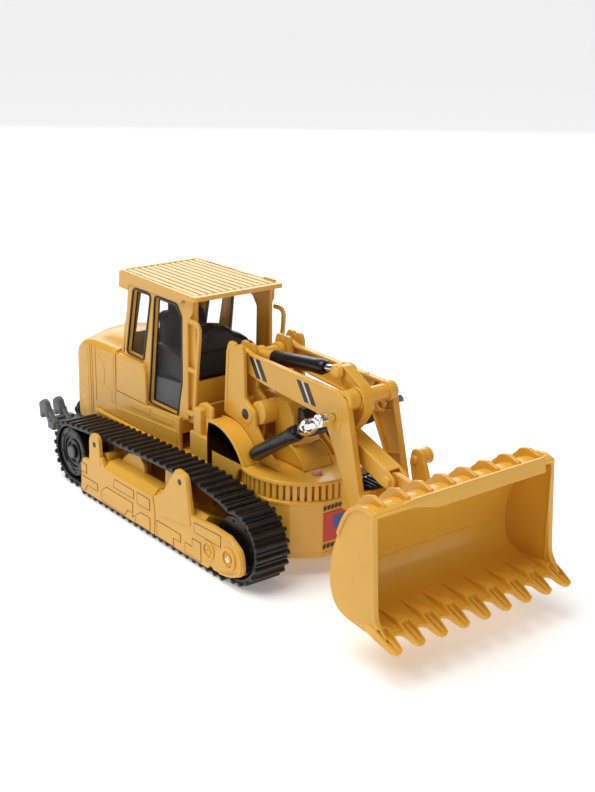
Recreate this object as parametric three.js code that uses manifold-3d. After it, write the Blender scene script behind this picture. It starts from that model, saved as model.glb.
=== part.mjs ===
// Toy tracked loader: chassis, cab, crawler tracks, Z-bar loader linkage, bucket and rear ripper.
// Millimetres, +X forward (towards the bucket), +Y to the vehicle's left, +Z up, ground at Z = 0.
import * as THREE from "three";
import { mergeVertices } from "three/addons/utils/BufferGeometryUtils.js";
import Module from "manifold-3d";

const wasm = await Module();
wasm.setup();

// ---- driving dimensions -------------------------------------------------------------------------
const GAP = 0.3; // clearance between separate pieces
const CENTRE_SHIFT = 5; // moves the model so that its length is centred on X = 0

const HULL = { rear: -186, shoulder: 70, front: 98, half: 46, noseHalf: 14, bottom: 14, deck: 60, wall: 3 };
const BELT = { outer: -78, inner: -47, cleat: 2.4, band: 3, pitches: 62 };
const SPROCKET = { x: -175, z: 28.5, r: 28.5 };
const IDLER = { x: 70, z: 30, r: 30 };
const FRAME = { face: -83, back: -79, bottom: 2, top: 41.5 };
const BODY = { half: 42, wall: 3 };
const CAB = { half: 39, wall: 4, floor: 84.3, top: 188.7, front: -39 };
const ROOF = { rear: -145.5, front: -27.8, half: 43.4, rearHalf: 39.6, bottom: 176, top: 192.5 };
const RING = { x: 52, r: 46.5, flange: 49.5, bottom: 60.3, step: 72, top: 75 };

// Pivots of the loader linkage, as [x, z]; every axis runs along Y.
const ARM_PIVOT = [6, 150];
const CROSS_TUBE = [127, 148];
const CRANK_TOP = [108, 162.4];
const CRANK_LOW = [110, 118];
const LINK_FRONT = [165, 98];
const BUCKET_PIVOT = [164, 60];
const LIFT_BASE = [41, 85];
const LIFT_END = [118, 134];
const RIPPER_PIVOT = [-231.5, 44];

const ARM = { outer: -24, inner: -19 };
const MAST = { outer: -30, gapOut: -24.5, gapIn: -18.5, inner: -14, top: 161 };
const CRANK = { near: -11, far: -3 };
const LIFT_CYL = { y: -35.2, r: 4.9, barrel: 62 };
const TILT_CYL = { r: 5.8, start: 21, end: 82 };
const BUCKET = { half: 83, plate: 2.5, teeth: 9, toothPitch: 20, toothWidth: 9, ribs: 8 };
const SHAFT_R = 3;

// ---- materials ----------------------------------------------------------------------------------
function finish(color, roughness, metalness = 0) {
  return new THREE.MeshStandardMaterial({ color, roughness, metalness });
}
const YELLOW = finish(0xe3a93a, 0.38);
const BLACK = finish(0x17171a, 0.5);
const RUBBER = finish(0x1d1d1f, 0.8);
const GREY = finish(0x4a4b4e, 0.55);
const CHROME = finish(0xd9dde0, 0.12, 1);
const STEEL = finish(0x9da2a6, 0.35, 1);
const GLASS = finish(0x30363a, 0.08);
GLASS.transparent = true;
GLASS.opacity = 0.4;
const BOARD = finish(0x1f6b3a, 0.5);
const CELL = finish(0x2f5da8, 0.4);

// ---- solid helpers ------------------------------------------------------------------------------
function toManifold(geometry) {
  const plain = geometry.clone();
  plain.deleteAttribute("normal");
  plain.deleteAttribute("uv");
  const merged = mergeVertices(plain, 1e-4);
  const mesh = new wasm.Mesh({
    numProp: 3,
    vertProperties: new Float32Array(merged.attributes.position.array),
    triVerts: new Uint32Array(merged.index.array),
  });
  mesh.merge();
  return new wasm.Manifold(mesh);
}

function toGeometry(solid) {
  const mesh = solid.getMesh();
  const geometry = new THREE.BufferGeometry();
  const stride = mesh.numProp;
  const count = mesh.vertProperties.length / stride;
  const positions = new Float32Array(count * 3);
  for (let i = 0; i < count; i += 1) {
    positions[3 * i] = mesh.vertProperties[stride * i];
    positions[3 * i + 1] = mesh.vertProperties[stride * i + 1];
    positions[3 * i + 2] = mesh.vertProperties[stride * i + 2];
  }
  geometry.setAttribute("position", new THREE.BufferAttribute(positions, 3));
  geometry.setIndex(new THREE.BufferAttribute(new Uint32Array(mesh.triVerts), 1));
  geometry.computeVertexNormals();
  return geometry;
}

function join(...solids) {
  return solids.reduce((sum, solid) => sum.add(solid));
}

function cut(solid, ...tools) {
  return tools.reduce((rest, tool) => rest.subtract(tool), solid);
}

function mirrorY(solid) {
  return solid.mirror([0, 1, 0]);
}

function shapeOf(points) {
  return new THREE.Shape(points.map(([a, b]) => new THREE.Vector2(a, b)));
}

// A side-view outline ([x, z] points or a Shape), extruded from y0 to y1.
function plate(outline, y0, y1, curveSegments = 8) {
  const shape = Array.isArray(outline) ? shapeOf(outline) : outline;
  const geometry = new THREE.ExtrudeGeometry(shape, { depth: y1 - y0, bevelEnabled: false, curveSegments });
  geometry.rotateX(Math.PI / 2);
  geometry.translate(0, y1, 0);
  return toManifold(geometry);
}

// A plan-view outline ([x, y] points), extruded from z0 to z1.
function slab(outline, z0, z1) {
  const geometry = new THREE.ExtrudeGeometry(shapeOf(outline), { depth: z1 - z0, bevelEnabled: false });
  geometry.translate(0, 0, z0);
  return toManifold(geometry);
}

// A front-view outline ([y, z] points), extruded from x0 to x1.
function section(outline, x0, x1) {
  const geometry = new THREE.ExtrudeGeometry(shapeOf(outline), { depth: x1 - x0, bevelEnabled: false });
  geometry.rotateX(Math.PI / 2);
  geometry.rotateZ(Math.PI / 2);
  geometry.translate(x0, 0, 0);
  return toManifold(geometry);
}

function block(x0, x1, y0, y1, z0, z1) {
  const geometry = new THREE.BoxGeometry(x1 - x0, y1 - y0, z1 - z0);
  geometry.translate((x0 + x1) / 2, (y0 + y1) / 2, (z0 + z1) / 2);
  return toManifold(geometry);
}

// A cylinder along Y at [x, z].
function drum([x, z], r, y0, y1, segments = 24) {
  const geometry = new THREE.CylinderGeometry(r, r, y1 - y0, segments);
  geometry.translate(x, (y0 + y1) / 2, z);
  return toManifold(geometry);
}

// A cylinder in the side view, from `start` to `end` millimetres along the line from `from` to `to`.
function bar(from, to, r, y, start, end, segments = 16) {
  const a = new THREE.Vector3(from[0], y, from[1]);
  const direction = new THREE.Vector3(to[0] - from[0], 0, to[1] - from[1]).normalize();
  const geometry = new THREE.CylinderGeometry(r, r, end - start, segments);
  const turn = new THREE.Quaternion().setFromUnitVectors(new THREE.Vector3(0, 1, 0), direction);
  geometry.applyQuaternion(turn);
  const middle = a.addScaledVector(direction, (start + end) / 2);
  geometry.translate(middle.x, middle.y, middle.z);
  return toManifold(geometry);
}

// The side-view outline round two circles: the shape of an eye bar.
function eyeBarOutline([x1, z1], r1, [x2, z2], r2) {
  const heading = Math.atan2(z2 - z1, x2 - x1);
  const lean = Math.acos((r1 - r2) / Math.hypot(x2 - x1, z2 - z1));
  const shape = new THREE.Shape();
  shape.absarc(x1, z1, r1, heading + lean, heading - lean + 2 * Math.PI, false);
  shape.absarc(x2, z2, r2, heading - lean, heading + lean, false);
  return shape;
}

function eyeBar(p1, r1, p2, r2, y0, y1) {
  return plate(eyeBarOutline(p1, r1, p2, r2), y0, y1, 10);
}

function distance(p, q) {
  return Math.hypot(q[0] - p[0], q[1] - p[1]);
}

const machine = new THREE.Group();
machine.position.x = CENTRE_SHIFT;

function add(name, solid, material) {
  const mesh = new THREE.Mesh(toGeometry(solid), material);
  mesh.name = name;
  machine.add(mesh);
}

// Adds NAME_right as given (on the -Y side) and its mirror image as NAME_left.
function addPair(name, solid, material) {
  add(`${name}_right`, solid, material);
  add(`${name}_left`, mirrorY(solid), material);
}

// ---- hull, covers and what they hold ------------------------------------------------------------
function hullPlan(inset) {
  const half = HULL.half - inset;
  const nose = HULL.noseHalf - inset * 0.4;
  const front = HULL.front - inset;
  const rear = HULL.rear + inset;
  const shoulder = HULL.shoulder - inset * 0.45;
  return [[rear, -half], [shoulder, -half], [front, -nose], [front, nose], [shoulder, half], [rear, half]];
}

function makeHull() {
  const tub = slab(hullPlan(0), HULL.bottom, HULL.deck);
  const inside = slab(hullPlan(HULL.wall), HULL.bottom - 5, HULL.deck - HULL.wall);
  const axleHole = drum([SPROCKET.x, SPROCKET.z], 3.9, -60, 60);
  add("hull", cut(tub, inside, axleHole), YELLOW);
}

function makeBellyCover() {
  const cover = slab(hullPlan(HULL.wall + GAP), HULL.bottom, HULL.bottom + 3);
  const doorway = block(-70, 10, -26, 26, HULL.bottom - 1, HULL.bottom + 4);
  const switchSlot = block(-104.5, -91.5, -3.3, 3.3, HULL.bottom - 1, HULL.bottom + 4);
  add("belly_cover", cut(cover, doorway, switchSlot), YELLOW);
  add("battery_door", block(-69.7, 9.7, -25.7, 25.7, HULL.bottom, HULL.bottom + 3), YELLOW);
  const knob = block(-104, -96.5, -3, 3, HULL.bottom - 1, HULL.bottom + 5);
  add("power_switch", knob, BLACK);
}

function makeBatteryAndBoard() {
  const cells = [];
  for (let row = -1; row <= 1; row += 1) {
    const cell = new THREE.CylinderGeometry(7.2, 7.2, 100, 14);
    cell.rotateZ(Math.PI / 2);
    cell.translate(-30, row * 14, 25.2);
    cells.push(toManifold(cell));
  }
  add("battery_pack", join(...cells, block(-78, 18, -13, 13, 20, 27)), CELL);
  const parts = [block(-75, 5, -24, 24, 40, 41.6), block(-60, -48, -10, 4, 41, 46), block(-30, -18, 6, 16, 41, 50)];
  add("control_board", join(...parts), BOARD);
}

function makeDrive() {
  const housing = block(-182.6, -150, -42.6, -26, 17.6, 52);
  const axleHole = drum([SPROCKET.x, SPROCKET.z], 3.9, -50, -20);
  addPair("drive_gearbox", cut(housing, axleHole), BLACK);
  addPair("drive_motor", join(drum([-164, 40], 9, -25.7, -3), drum([-164, 40], 1.5, -4, -1)), STEEL);
  add("lift_drive", join(block(26, 60, -14, 14, 18, 50), bar([59, 34], [90, 34], 11, 0, 0, 26)), BLACK);
}

// ---- crawler tracks -----------------------------------------------------------------------------
// The belt's outer path, clockwise seen from the right: up round the sprocket, along a top run that
// bows gently upwards over the skids, down round the idler and back along the ground.
function beltPath() {
  const path = new THREE.Path();
  path.absarc(SPROCKET.x, SPROCKET.z, SPROCKET.r, -Math.PI / 2, -Math.PI * 1.5, true);
  const run = [[-140, 60.5], [-95, 63.5], [-45, 65.8], [0, 66.8], [30, 65.8], [54, 62.4]];
  path.splineThru(run.map(([x, z]) => new THREE.Vector2(x, z)));
  path.absarc(IDLER.x, IDLER.z, IDLER.r, Math.PI * 0.58, -Math.PI / 2, true);
  path.closePath();
  return path;
}

function offsetPoint(path, u, offset) {
  const wrapped = ((u % 1) + 1) % 1;
  const point = path.getPointAt(wrapped);
  const tangent = path.getTangentAt(wrapped);
  return [point.x + tangent.y * offset, point.y - tangent.x * offset];
}

// Leaves out points that lie on the straight line between their neighbours.
function withoutStraights(points) {
  return points.filter(([x, z], i) => {
    const [ax, az] = points[(i + points.length - 1) % points.length];
    const [bx, bz] = points[(i + 1) % points.length];
    return Math.abs((x - ax) * (bz - az) - (z - az) * (bx - ax)) > 0.01;
  });
}

function makeBelts() {
  const path = beltPath();
  const outer = [];
  const inner = [];
  for (let i = 0; i < BELT.pitches; i += 1) {
    for (const [part, height] of [[0, BELT.cleat], [0.1, 0], [0.48, 0], [0.6, BELT.cleat]]) {
      outer.push(offsetPoint(path, (i + part) / BELT.pitches, BELT.cleat - height));
    }
    inner.push(offsetPoint(path, i / BELT.pitches, BELT.cleat + BELT.band));
  }
  const loop = shapeOf(outer);
  const hollow = plate(withoutStraights(inner), BELT.outer - 1, BELT.inner + 1);
  addPair("track_belt", cut(plate(loop, BELT.outer, BELT.inner), hollow), RUBBER);
}

function makeWheels() {
  const slack = 0.6 + BELT.cleat + BELT.band;
  const sprocketAt = [SPROCKET.x, SPROCKET.z];
  const rim = drum(sprocketAt, SPROCKET.r - slack, -75, -50, 32);
  const dish = drum(sprocketAt, 18, -76, -72, 28);
  const hub = drum(sprocketAt, 7, -76.5, -71, 20);
  addPair("sprocket", join(cut(rim, dish), hub, drum(sprocketAt, 3.5, -51, -30, 16)), BLACK);
  const idlerAt = [IDLER.x, IDLER.z];
  const wheel = drum(idlerAt, IDLER.r - slack, -75, -50, 32);
  const recess = drum(idlerAt, 19, -76, -73, 28);
  const axle = drum(idlerAt, 3.4, -78.6, -46.5, 16);
  addPair("idler", join(cut(wheel, recess), axle), BLACK);
}

function frameOutline() {
  const shape = new THREE.Shape();
  shape.moveTo(-150.5, FRAME.bottom);
  shape.lineTo(40, FRAME.bottom);
  shape.lineTo(72, 7.5);
  shape.absarc(72, 24.5, 17, -Math.PI / 2, Math.PI * 0.4, false);
  shape.lineTo(66, FRAME.top);
  shape.lineTo(23, FRAME.top);
  shape.lineTo(16.5, 66);
  shape.absarc(9, 64.5, 7.4, 0.1, Math.PI * 0.8, false);
  shape.lineTo(-20, FRAME.top + 1.5);
  shape.lineTo(-110, FRAME.top + 1.5);
  shape.lineTo(-111.5, 54);
  shape.absarc(-121, 53, 9.3, 0.1, Math.PI * 0.97, false);
  shape.lineTo(-131, 36);
  shape.lineTo(-143, 35);
  shape.closePath();
  return shape;
}

function makeTrackFrames() {
  const side = plate(frameOutline(), FRAME.face, FRAME.back);
  const lugHoles = [drum([-121, 53], 2.2, -90, -70, 12), drum([9, 63], 2.2, -90, -70, 12)];
  const wall = [[FRAME.back - 1, 8], [FRAME.back - 1, FRAME.top], [-66, 38], [-52, 32], [-52, 8]];
  const core = section(wall, -140, 34);
  const skids = [block(-103, -87, -73, -60, 30, 56.2), block(-42, -33, -73, -60, 30, 58.4)];
  const shelf = block(-118, -112, -76, -60, 30, 47);
  const struts = [block(-128, -108, -54, -HULL.half - GAP, 18, 30), block(6, 26, -54, -HULL.half - GAP, 18, 30)];
  const wheelRoom = drum([SPROCKET.x, SPROCKET.z], 28, -78.8, -40, 32);
  const body = cut(join(core, ...skids, shelf, ...struts), wheelRoom);
  addPair("track_frame", join(cut(side, ...lugHoles), body), YELLOW);
}

// ---- hood, cab and roof -------------------------------------------------------------------------
function makeBodyShell() {
  const outside = [
    [-222, 44], [-219.5, 92], [-214, 107], [-204, 116], [-184, 122.5], [-153.3, 126], [-153.3, 84],
    [-54, 84], [-54, 73], [-166, 62], [-176, 61], [-186.3, 60.3], [-187, 44],
  ];
  const inside = [
    [-218.7, 30], [-216.3, 91], [-211.5, 105], [-202.5, 113], [-183, 119.3], [-156.5, 122.6],
    [-156.5, 81], [-58, 81], [-58, 59], [-190, 59], [-190, 30],
  ];
  const hull = plate(outside, -BODY.half, BODY.half);
  const crownCut = section(
    [[-60, 140], [-60, 100], [-42, 100], [-42, 112], [-36, 119], [-24, 124], [24, 124], [36, 119], [42, 112],
      [42, 100], [60, 100], [60, 140]],
    -230, -150,
  );
  const cavity = plate(inside, -BODY.half + BODY.wall, BODY.half - BODY.wall);
  const lowered = section([[-60, 90], [-39, 90], [-39, 109], [-33, 115], [-22, 120], [22, 120], [33, 115],
    [39, 109], [39, 90], [60, 90], [60, 200], [-60, 200]], -230, -150);
  add("body_shell", cut(cut(hull, crownCut), cavity.subtract(lowered)), YELLOW);
}

function cabSide(inset) {
  return [
    [-152.7 + inset, CAB.floor - (inset ? 5 : 0)], [-150 + inset, 118], [-134 + inset, 176],
    [-134 + inset, CAB.top + (inset ? 5 : 0)], [CAB.front - inset, CAB.top + (inset ? 5 : 0)],
    [CAB.front - inset, CAB.floor - (inset ? 5 : 0)],
  ];
}

const QUARTER_WINDOW = [[-137, 122.5], [-111.5, 122], [-98, 180], [-124, 180]];
const DOOR_WINDOW = [[-104, 88], [-61, 88], [-54.3, 119], [-53, 172], [-60, 180], [-91, 180]];

function makeCab() {
  const shell = plate(cabSide(0), -CAB.half, CAB.half);
  const step = plate([[-152.7, CAB.floor], [-151, 118], [-107, 118], [-103, CAB.floor]], -BODY.half, BODY.half);
  const room = plate(cabSide(CAB.wall), -CAB.half + CAB.wall, CAB.half - CAB.wall);
  const corner = [[CAB.front - 10, -CAB.half - 5], [CAB.front + 5, -CAB.half - 5], [CAB.front + 5, -CAB.half + 10.5]];
  const chamfer = slab(corner, 60, 200);
  const windows = [
    plate(QUARTER_WINDOW, -60, 60),
    plate(DOOR_WINDOW, -60, 60),
    block(CAB.front - 8, CAB.front + 8, -32.5, 32.5, 125, 184),
    block(-160, -120, -27, 27, 135, 178),
  ];
  add("cab_frame", cut(join(shell, step), room, ...windows, chamfer, mirrorY(chamfer)), YELLOW);
}

function insetOutline(points, amount) {
  const cx = points.reduce((sum, p) => sum + p[0], 0) / points.length;
  const cz = points.reduce((sum, p) => sum + p[1], 0) / points.length;
  return points.map(([x, z]) => {
    const reach = Math.hypot(x - cx, z - cz);
    return [cx + ((x - cx) * (reach - amount)) / reach, cz + ((z - cz) * (reach - amount)) / reach];
  });
}

function makeGlazing() {
  addPair("quarter_window", plate(insetOutline(QUARTER_WINDOW, 0.6), -38.2, -36.8), GLASS);
  addPair("door_window", plate(insetOutline(DOOR_WINDOW, 0.6), -38.2, -36.8), GLASS);
}

function roofPlan(inset) {
  return [
    [ROOF.rear + inset, -ROOF.rearHalf + inset], [ROOF.front - inset, -ROOF.half + inset],
    [ROOF.front - inset, ROOF.half - inset], [ROOF.rear + inset, ROOF.rearHalf - inset],
  ];
}

function makeRoof() {
  const outer = slab(roofPlan(0), ROOF.bottom, ROOF.top);
  const cavity = block(-134.3, CAB.front + GAP, -CAB.half - GAP, CAB.half + GAP, 150, CAB.top + GAP);
  const frontCut = plate([[-50, 170], [-30, 188.5], [-10, 188.5], [-10, 170]], -60, 60);
  const visor = block(-52, -10, -CAB.half + 3, CAB.half - 3, 170, CAB.top + GAP);
  add("roof", cut(outer, cavity, frontCut, visor), YELLOW);
}

function makeInterior() {
  const base = block(-118, -62, -34, 34, CAB.floor + GAP, 116);
  const seat = plate([[-112, 115], [-116, 150], [-106, 153], [-100, 124], [-72, 124], [-72, 115]], -19, 19);
  const arms = [block(-104, -76, -30, -22, 115, 132), block(-104, -76, 22, 30, 115, 132)];
  add("operator_seat", join(base, seat, ...arms), BLACK);
  const dash = plate([[-58, 84.6], [-62, 132], [-54, 139], [-45, 134], [-44, 84.6]], -31, 31);
  const wheel = bar([-62, 136], [-56, 141], 11, 0, -2, 1.2, 20);
  add("dashboard", join(dash, wheel, bar([-62, 136], [-52, 126], 2, 0, 0, 12, 8)), BLACK);
}

function makeHandrails() {
  const outer = plate([[-54, 172.5], [-28, 172.5], [-24, 169], [-36, 92], [-54, 92]], -42.4, -39.3);
  const slots = [
    plate([[-60, 168.5], [-31, 168.5], [-29, 167], [-34.5, 134], [-60, 134]], -50, -30),
    plate([[-60, 130], [-35.2, 130], [-39.6, 96], [-60, 96]], -50, -30),
  ];
  const spine = block(-54, -50.5, -42.4, -39.3, 92, 172.5);
  addPair("handrail", join(cut(outer, ...slots), spine), YELLOW);
}

// ---- turntable deck, mast and fenders -----------------------------------------------------------
function makeTurntable() {
  const outline = [];
  const ribs = 48;
  for (let i = 0; i < ribs; i += 1) {
    for (const [part, depth] of [[0, 0], [0.5, 0], [0.5, 2.2], [1, 2.2]]) {
      const angle = ((i + part) / ribs) * 2 * Math.PI;
      const r = RING.r - depth;
      outline.push([RING.x + r * Math.cos(angle), r * Math.sin(angle)]);
    }
  }
  const wheel = slab(outline, RING.bottom, RING.step + 0.5);
  const flange = new THREE.CylinderGeometry(RING.flange, RING.flange, RING.top - RING.step, 48);
  flange.rotateX(Math.PI / 2);
  flange.translate(RING.x, 0, (RING.top + RING.step) / 2);
  const rearTrim = block(-40, 2, -60, 60, 50, 90);
  add("turntable_ring", cut(join(wheel, toManifold(flange)), rearTrim), YELLOW);
}

function makeMastHousing() {
  const shape = new THREE.Shape();
  shape.moveTo(2.5, RING.top + GAP);
  shape.lineTo(2.5, 118);
  shape.lineTo(20, 124);
  shape.lineTo(52, 124);
  shape.lineTo(57.5, 117);
  shape.lineTo(57.5, 90);
  shape.quadraticCurveTo(71, 86, 75.5, RING.top + GAP);
  shape.closePath();
  const tower = plate(shape, -6, 6);
  const drumShape = new THREE.Shape();
  drumShape.moveTo(20, RING.top + GAP);
  drumShape.lineTo(20, 92);
  drumShape.lineTo(50, 92);
  drumShape.quadraticCurveTo(70, 90, 75.5, RING.top + GAP);
  drumShape.closePath();
  const hump = plate(drumShape, -13.7, 13.7);
  const boss = drum([34, 114], 9.5, -13.7, 13.7);
  add("mast_housing", join(tower, hump, boss), YELLOW);
  add("lift_drive_cover", block(58.3, 82, -9, 9, 94, 121), BLACK);
}

function makeMasts() {
  const outer = new THREE.Shape();
  outer.moveTo(-4.5, MAST.top - 3);
  outer.lineTo(-8.5, 102.5);
  outer.lineTo(8, 101);
  outer.quadraticCurveTo(30, 92, 42, RING.top + GAP);
  outer.lineTo(67, RING.top + GAP);
  outer.quadraticCurveTo(48, 90, 31, 104);
  outer.lineTo(29, 114);
  outer.lineTo(17.5, 121);
  outer.lineTo(17, MAST.top - 3);
  outer.absarc(12, MAST.top - 3, 5, 0, Math.PI, false);
  outer.absarc(1, MAST.top - 3, 5.5, 0, Math.PI, false);
  outer.closePath();
  const inner = new THREE.Shape();
  inner.moveTo(-3, MAST.top - 3);
  inner.lineTo(-3, RING.top + GAP + 20);
  inner.lineTo(4, RING.top + GAP);
  inner.lineTo(19, RING.top + GAP);
  inner.lineTo(26, 104);
  inner.lineTo(26, 122);
  inner.lineTo(17, 128);
  inner.lineTo(17, MAST.top - 3);
  inner.absarc(12, MAST.top - 3, 5, 0, Math.PI, false);
  inner.absarc(1.5, MAST.top - 3, 4.5, 0, Math.PI, false);
  inner.closePath();
  const web = block(0, 18, MAST.gapOut - 1, MAST.gapIn + 1, 84, 122);
  const shaftHole = drum(ARM_PIVOT, SHAFT_R + GAP, -40, 0, 16);
  const pinHole = drum([20.8, 110], 4.3, -40, -20, 16);
  const sides = join(plate(outer, MAST.outer, MAST.gapOut), plate(inner, MAST.gapIn, MAST.inner), web);
  addPair("mast", cut(sides, shaftHole, pinHole), YELLOW);
  addPair("mast_pin", drum([20.8, 110], 4, MAST.outer - 1, MAST.gapOut + 1, 16), BLACK);
  add("mast_shaft", drum(ARM_PIVOT, SHAFT_R, -29.5, 29.5, 16), STEEL);
}

function makeFenders() {
  const shape = new THREE.Shape();
  shape.moveTo(-36, HULL.deck + GAP);
  shape.lineTo(-1, HULL.deck + GAP);
  shape.lineTo(-1, RING.top + GAP);
  shape.lineTo(43, RING.top + GAP);
  shape.absarc(0, 58, 43, 0.45, Math.PI / 2 + 0.2, false);
  shape.lineTo(-9, 84);
  shape.lineTo(-36, 84);
  shape.closePath();
  const fin = [block(-29, -19, -46, -43, 83, 106), block(-29, -26, -46, -31, 83, 106)];
  addPair("front_fender", join(plate(shape, -46, -30.5), ...fin), YELLOW);
}

// ---- lift arms ----------------------------------------------------------------------------------
function makeLiftArms() {
  const shape = new THREE.Shape();
  const [ax, az] = ARM_PIVOT;
  const [hx, hz] = BUCKET_PIVOT;
  shape.absarc(ax, az, 9, Math.PI * 1.5, Math.PI / 2, true);
  shape.lineTo(18, 155.6);
  shape.lineTo(121, 153.4);
  shape.quadraticCurveTo(131, 152.4, 134, 143);
  shape.lineTo(148, 83);
  shape.lineTo(168, 68);
  shape.absarc(hx, hz, 9, 1.1, -Math.PI * 0.75, true);
  shape.lineTo(136, 73);
  shape.lineTo(119, 105);
  shape.lineTo(108, 127);
  shape.lineTo(98, 133);
  shape.lineTo(36, 136);
  shape.closePath();
  const bores = [drum(ARM_PIVOT, SHAFT_R + GAP, -40, 0, 16), drum(BUCKET_PIVOT, SHAFT_R + GAP, -40, 0, 16)];
  addPair("lift_arm", cut(plate(shape, ARM.outer, ARM.inner), ...bores), YELLOW);
  add("cross_tube", drum(CROSS_TUBE, 6, ARM.inner + GAP, -ARM.inner - GAP), YELLOW);
  const tray = block(122, 147, ARM.inner + GAP, -ARM.inner - GAP, 64, 84);
  const well = block(125, 144, -15, 15, 67, 90);
  add("cross_box", cut(tray, well), YELLOW);
  add("bucket_motor", block(126, 143, -12, 12, 67.3, 94), BLACK);
}

// ---- bell crank, bucket link and cylinders ------------------------------------------------------
function makeBellCrank() {
  const upper = eyeBar(CRANK_TOP, 5, CROSS_TUBE, 10, CRANK.near, CRANK.far);
  const lower = eyeBar(CROSS_TUBE, 10, CRANK_LOW, 6.5, CRANK.near, CRANK.far);
  const bores = [drum(CROSS_TUBE, 6.4, -20, 20), drum(CRANK_LOW, 2.7, -20, 20, 16)];
  add("bell_crank", cut(join(upper, lower), ...bores), YELLOW);
}

function makeBucketLink() {
  const [bx, bz] = CRANK_LOW;
  const [lx, lz] = LINK_FRONT;
  const along = (t) => [bx + (lx - bx) * t, bz + (lz - bz) * t];
  const near = eyeBar(CRANK_LOW, 6.5, LINK_FRONT, 7.5, CRANK.near - 3.3, CRANK.near - GAP);
  const far = eyeBar(CRANK_LOW, 6.5, LINK_FRONT, 7.5, CRANK.far + GAP, CRANK.far + 3.3);
  const web = eyeBar(along(0.36), 5.5, along(0.58), 5.5, CRANK.near - 1, CRANK.far + 1);
  const pin = drum(CRANK_LOW, 2.4, CRANK.near - 1, CRANK.far + 1, 16);
  add("bucket_link", join(near, far, web, pin), YELLOW);
}

function makeTiltCylinder() {
  const y = (CRANK.near + CRANK.far) / 2;
  const reach = distance(ARM_PIVOT, CRANK_TOP);
  const tube = bar(ARM_PIVOT, CRANK_TOP, TILT_CYL.r, y, TILT_CYL.start, TILT_CYL.end);
  const bore = bar(ARM_PIVOT, CRANK_TOP, 3, y, TILT_CYL.start + 14, TILT_CYL.end + 2);
  const neck = bar(ARM_PIVOT, CRANK_TOP, 5, y, 4, TILT_CYL.start + 1);
  const eye = drum(ARM_PIVOT, 6.5, y - 5, y + 5);
  const shaftHole = drum(ARM_PIVOT, SHAFT_R + GAP, -20, 20, 16);
  add("tilt_barrel", cut(join(tube, neck, eye), bore, shaftHole), BLACK);
  add("tilt_rod", bar(ARM_PIVOT, CRANK_TOP, 2.6, y, 46, reach - 10.9), CHROME);
  const root = [CRANK_TOP[0] - 7.5, CRANK_TOP[1] - 0.9];
  const ears = [
    eyeBar(CRANK_TOP, 5.5, root, 2.5, CRANK.near - 2.8, CRANK.near - GAP),
    eyeBar(CRANK_TOP, 5.5, root, 2.5, CRANK.far + GAP, CRANK.far + 2.8),
  ];
  const strap = block(CRANK_TOP[0] - 10, CRANK_TOP[0] - 7.6, CRANK.near - 2.8, CRANK.far + 2.8, 157.5, 165);
  add("tilt_fork", join(...ears, strap), YELLOW);
}

function makeLiftCylinders() {
  const { y, r, barrel } = LIFT_CYL;
  const reach = distance(LIFT_BASE, LIFT_END);
  const tube = bar(LIFT_BASE, LIFT_END, r, y, 0, barrel);
  const rear = toManifold(new THREE.SphereGeometry(r, 16, 10).translate(LIFT_BASE[0], y, LIFT_BASE[1]));
  const bore = bar(LIFT_BASE, LIFT_END, 2.7, y, 1, barrel + 2);
  addPair("lift_barrel", cut(join(tube, rear), bore), BLACK);
  const rod = bar(LIFT_BASE, LIFT_END, 2.3, y, 8.6, reach - 2);
  const eye = drum(LIFT_END, 5, y - 3.2, y + 3.2, 18);
  const pin = drum(LIFT_END, 2.4, y, ARM.outer - GAP, 14);
  addPair("lift_rod", join(rod, eye, pin), CHROME);
}

// ---- bucket -------------------------------------------------------------------------------------
// The bucket's back in side view, from the rim down to the floor's lip.
function bucketBack(offset) {
  const spine = [[228, 112.5], [214, 114.5], [204, 108], [197, 94], [190, 76], [187, 61], [188.5, 46], [195, 36]];
  return spine.map(([x, z], index) => {
    const before = spine[Math.max(index - 1, 0)];
    const after = spine[Math.min(index + 1, spine.length - 1)];
    const dx = after[0] - before[0];
    const dz = after[1] - before[1];
    const length = Math.hypot(dx, dz);
    return [x - (dz / length) * offset, z + (dx / length) * offset];
  });
}

function lug(pivot, r, y0, y1, root) {
  return plate(eyeBarOutline(pivot, r, root, r + 2), y0, y1);
}

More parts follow.
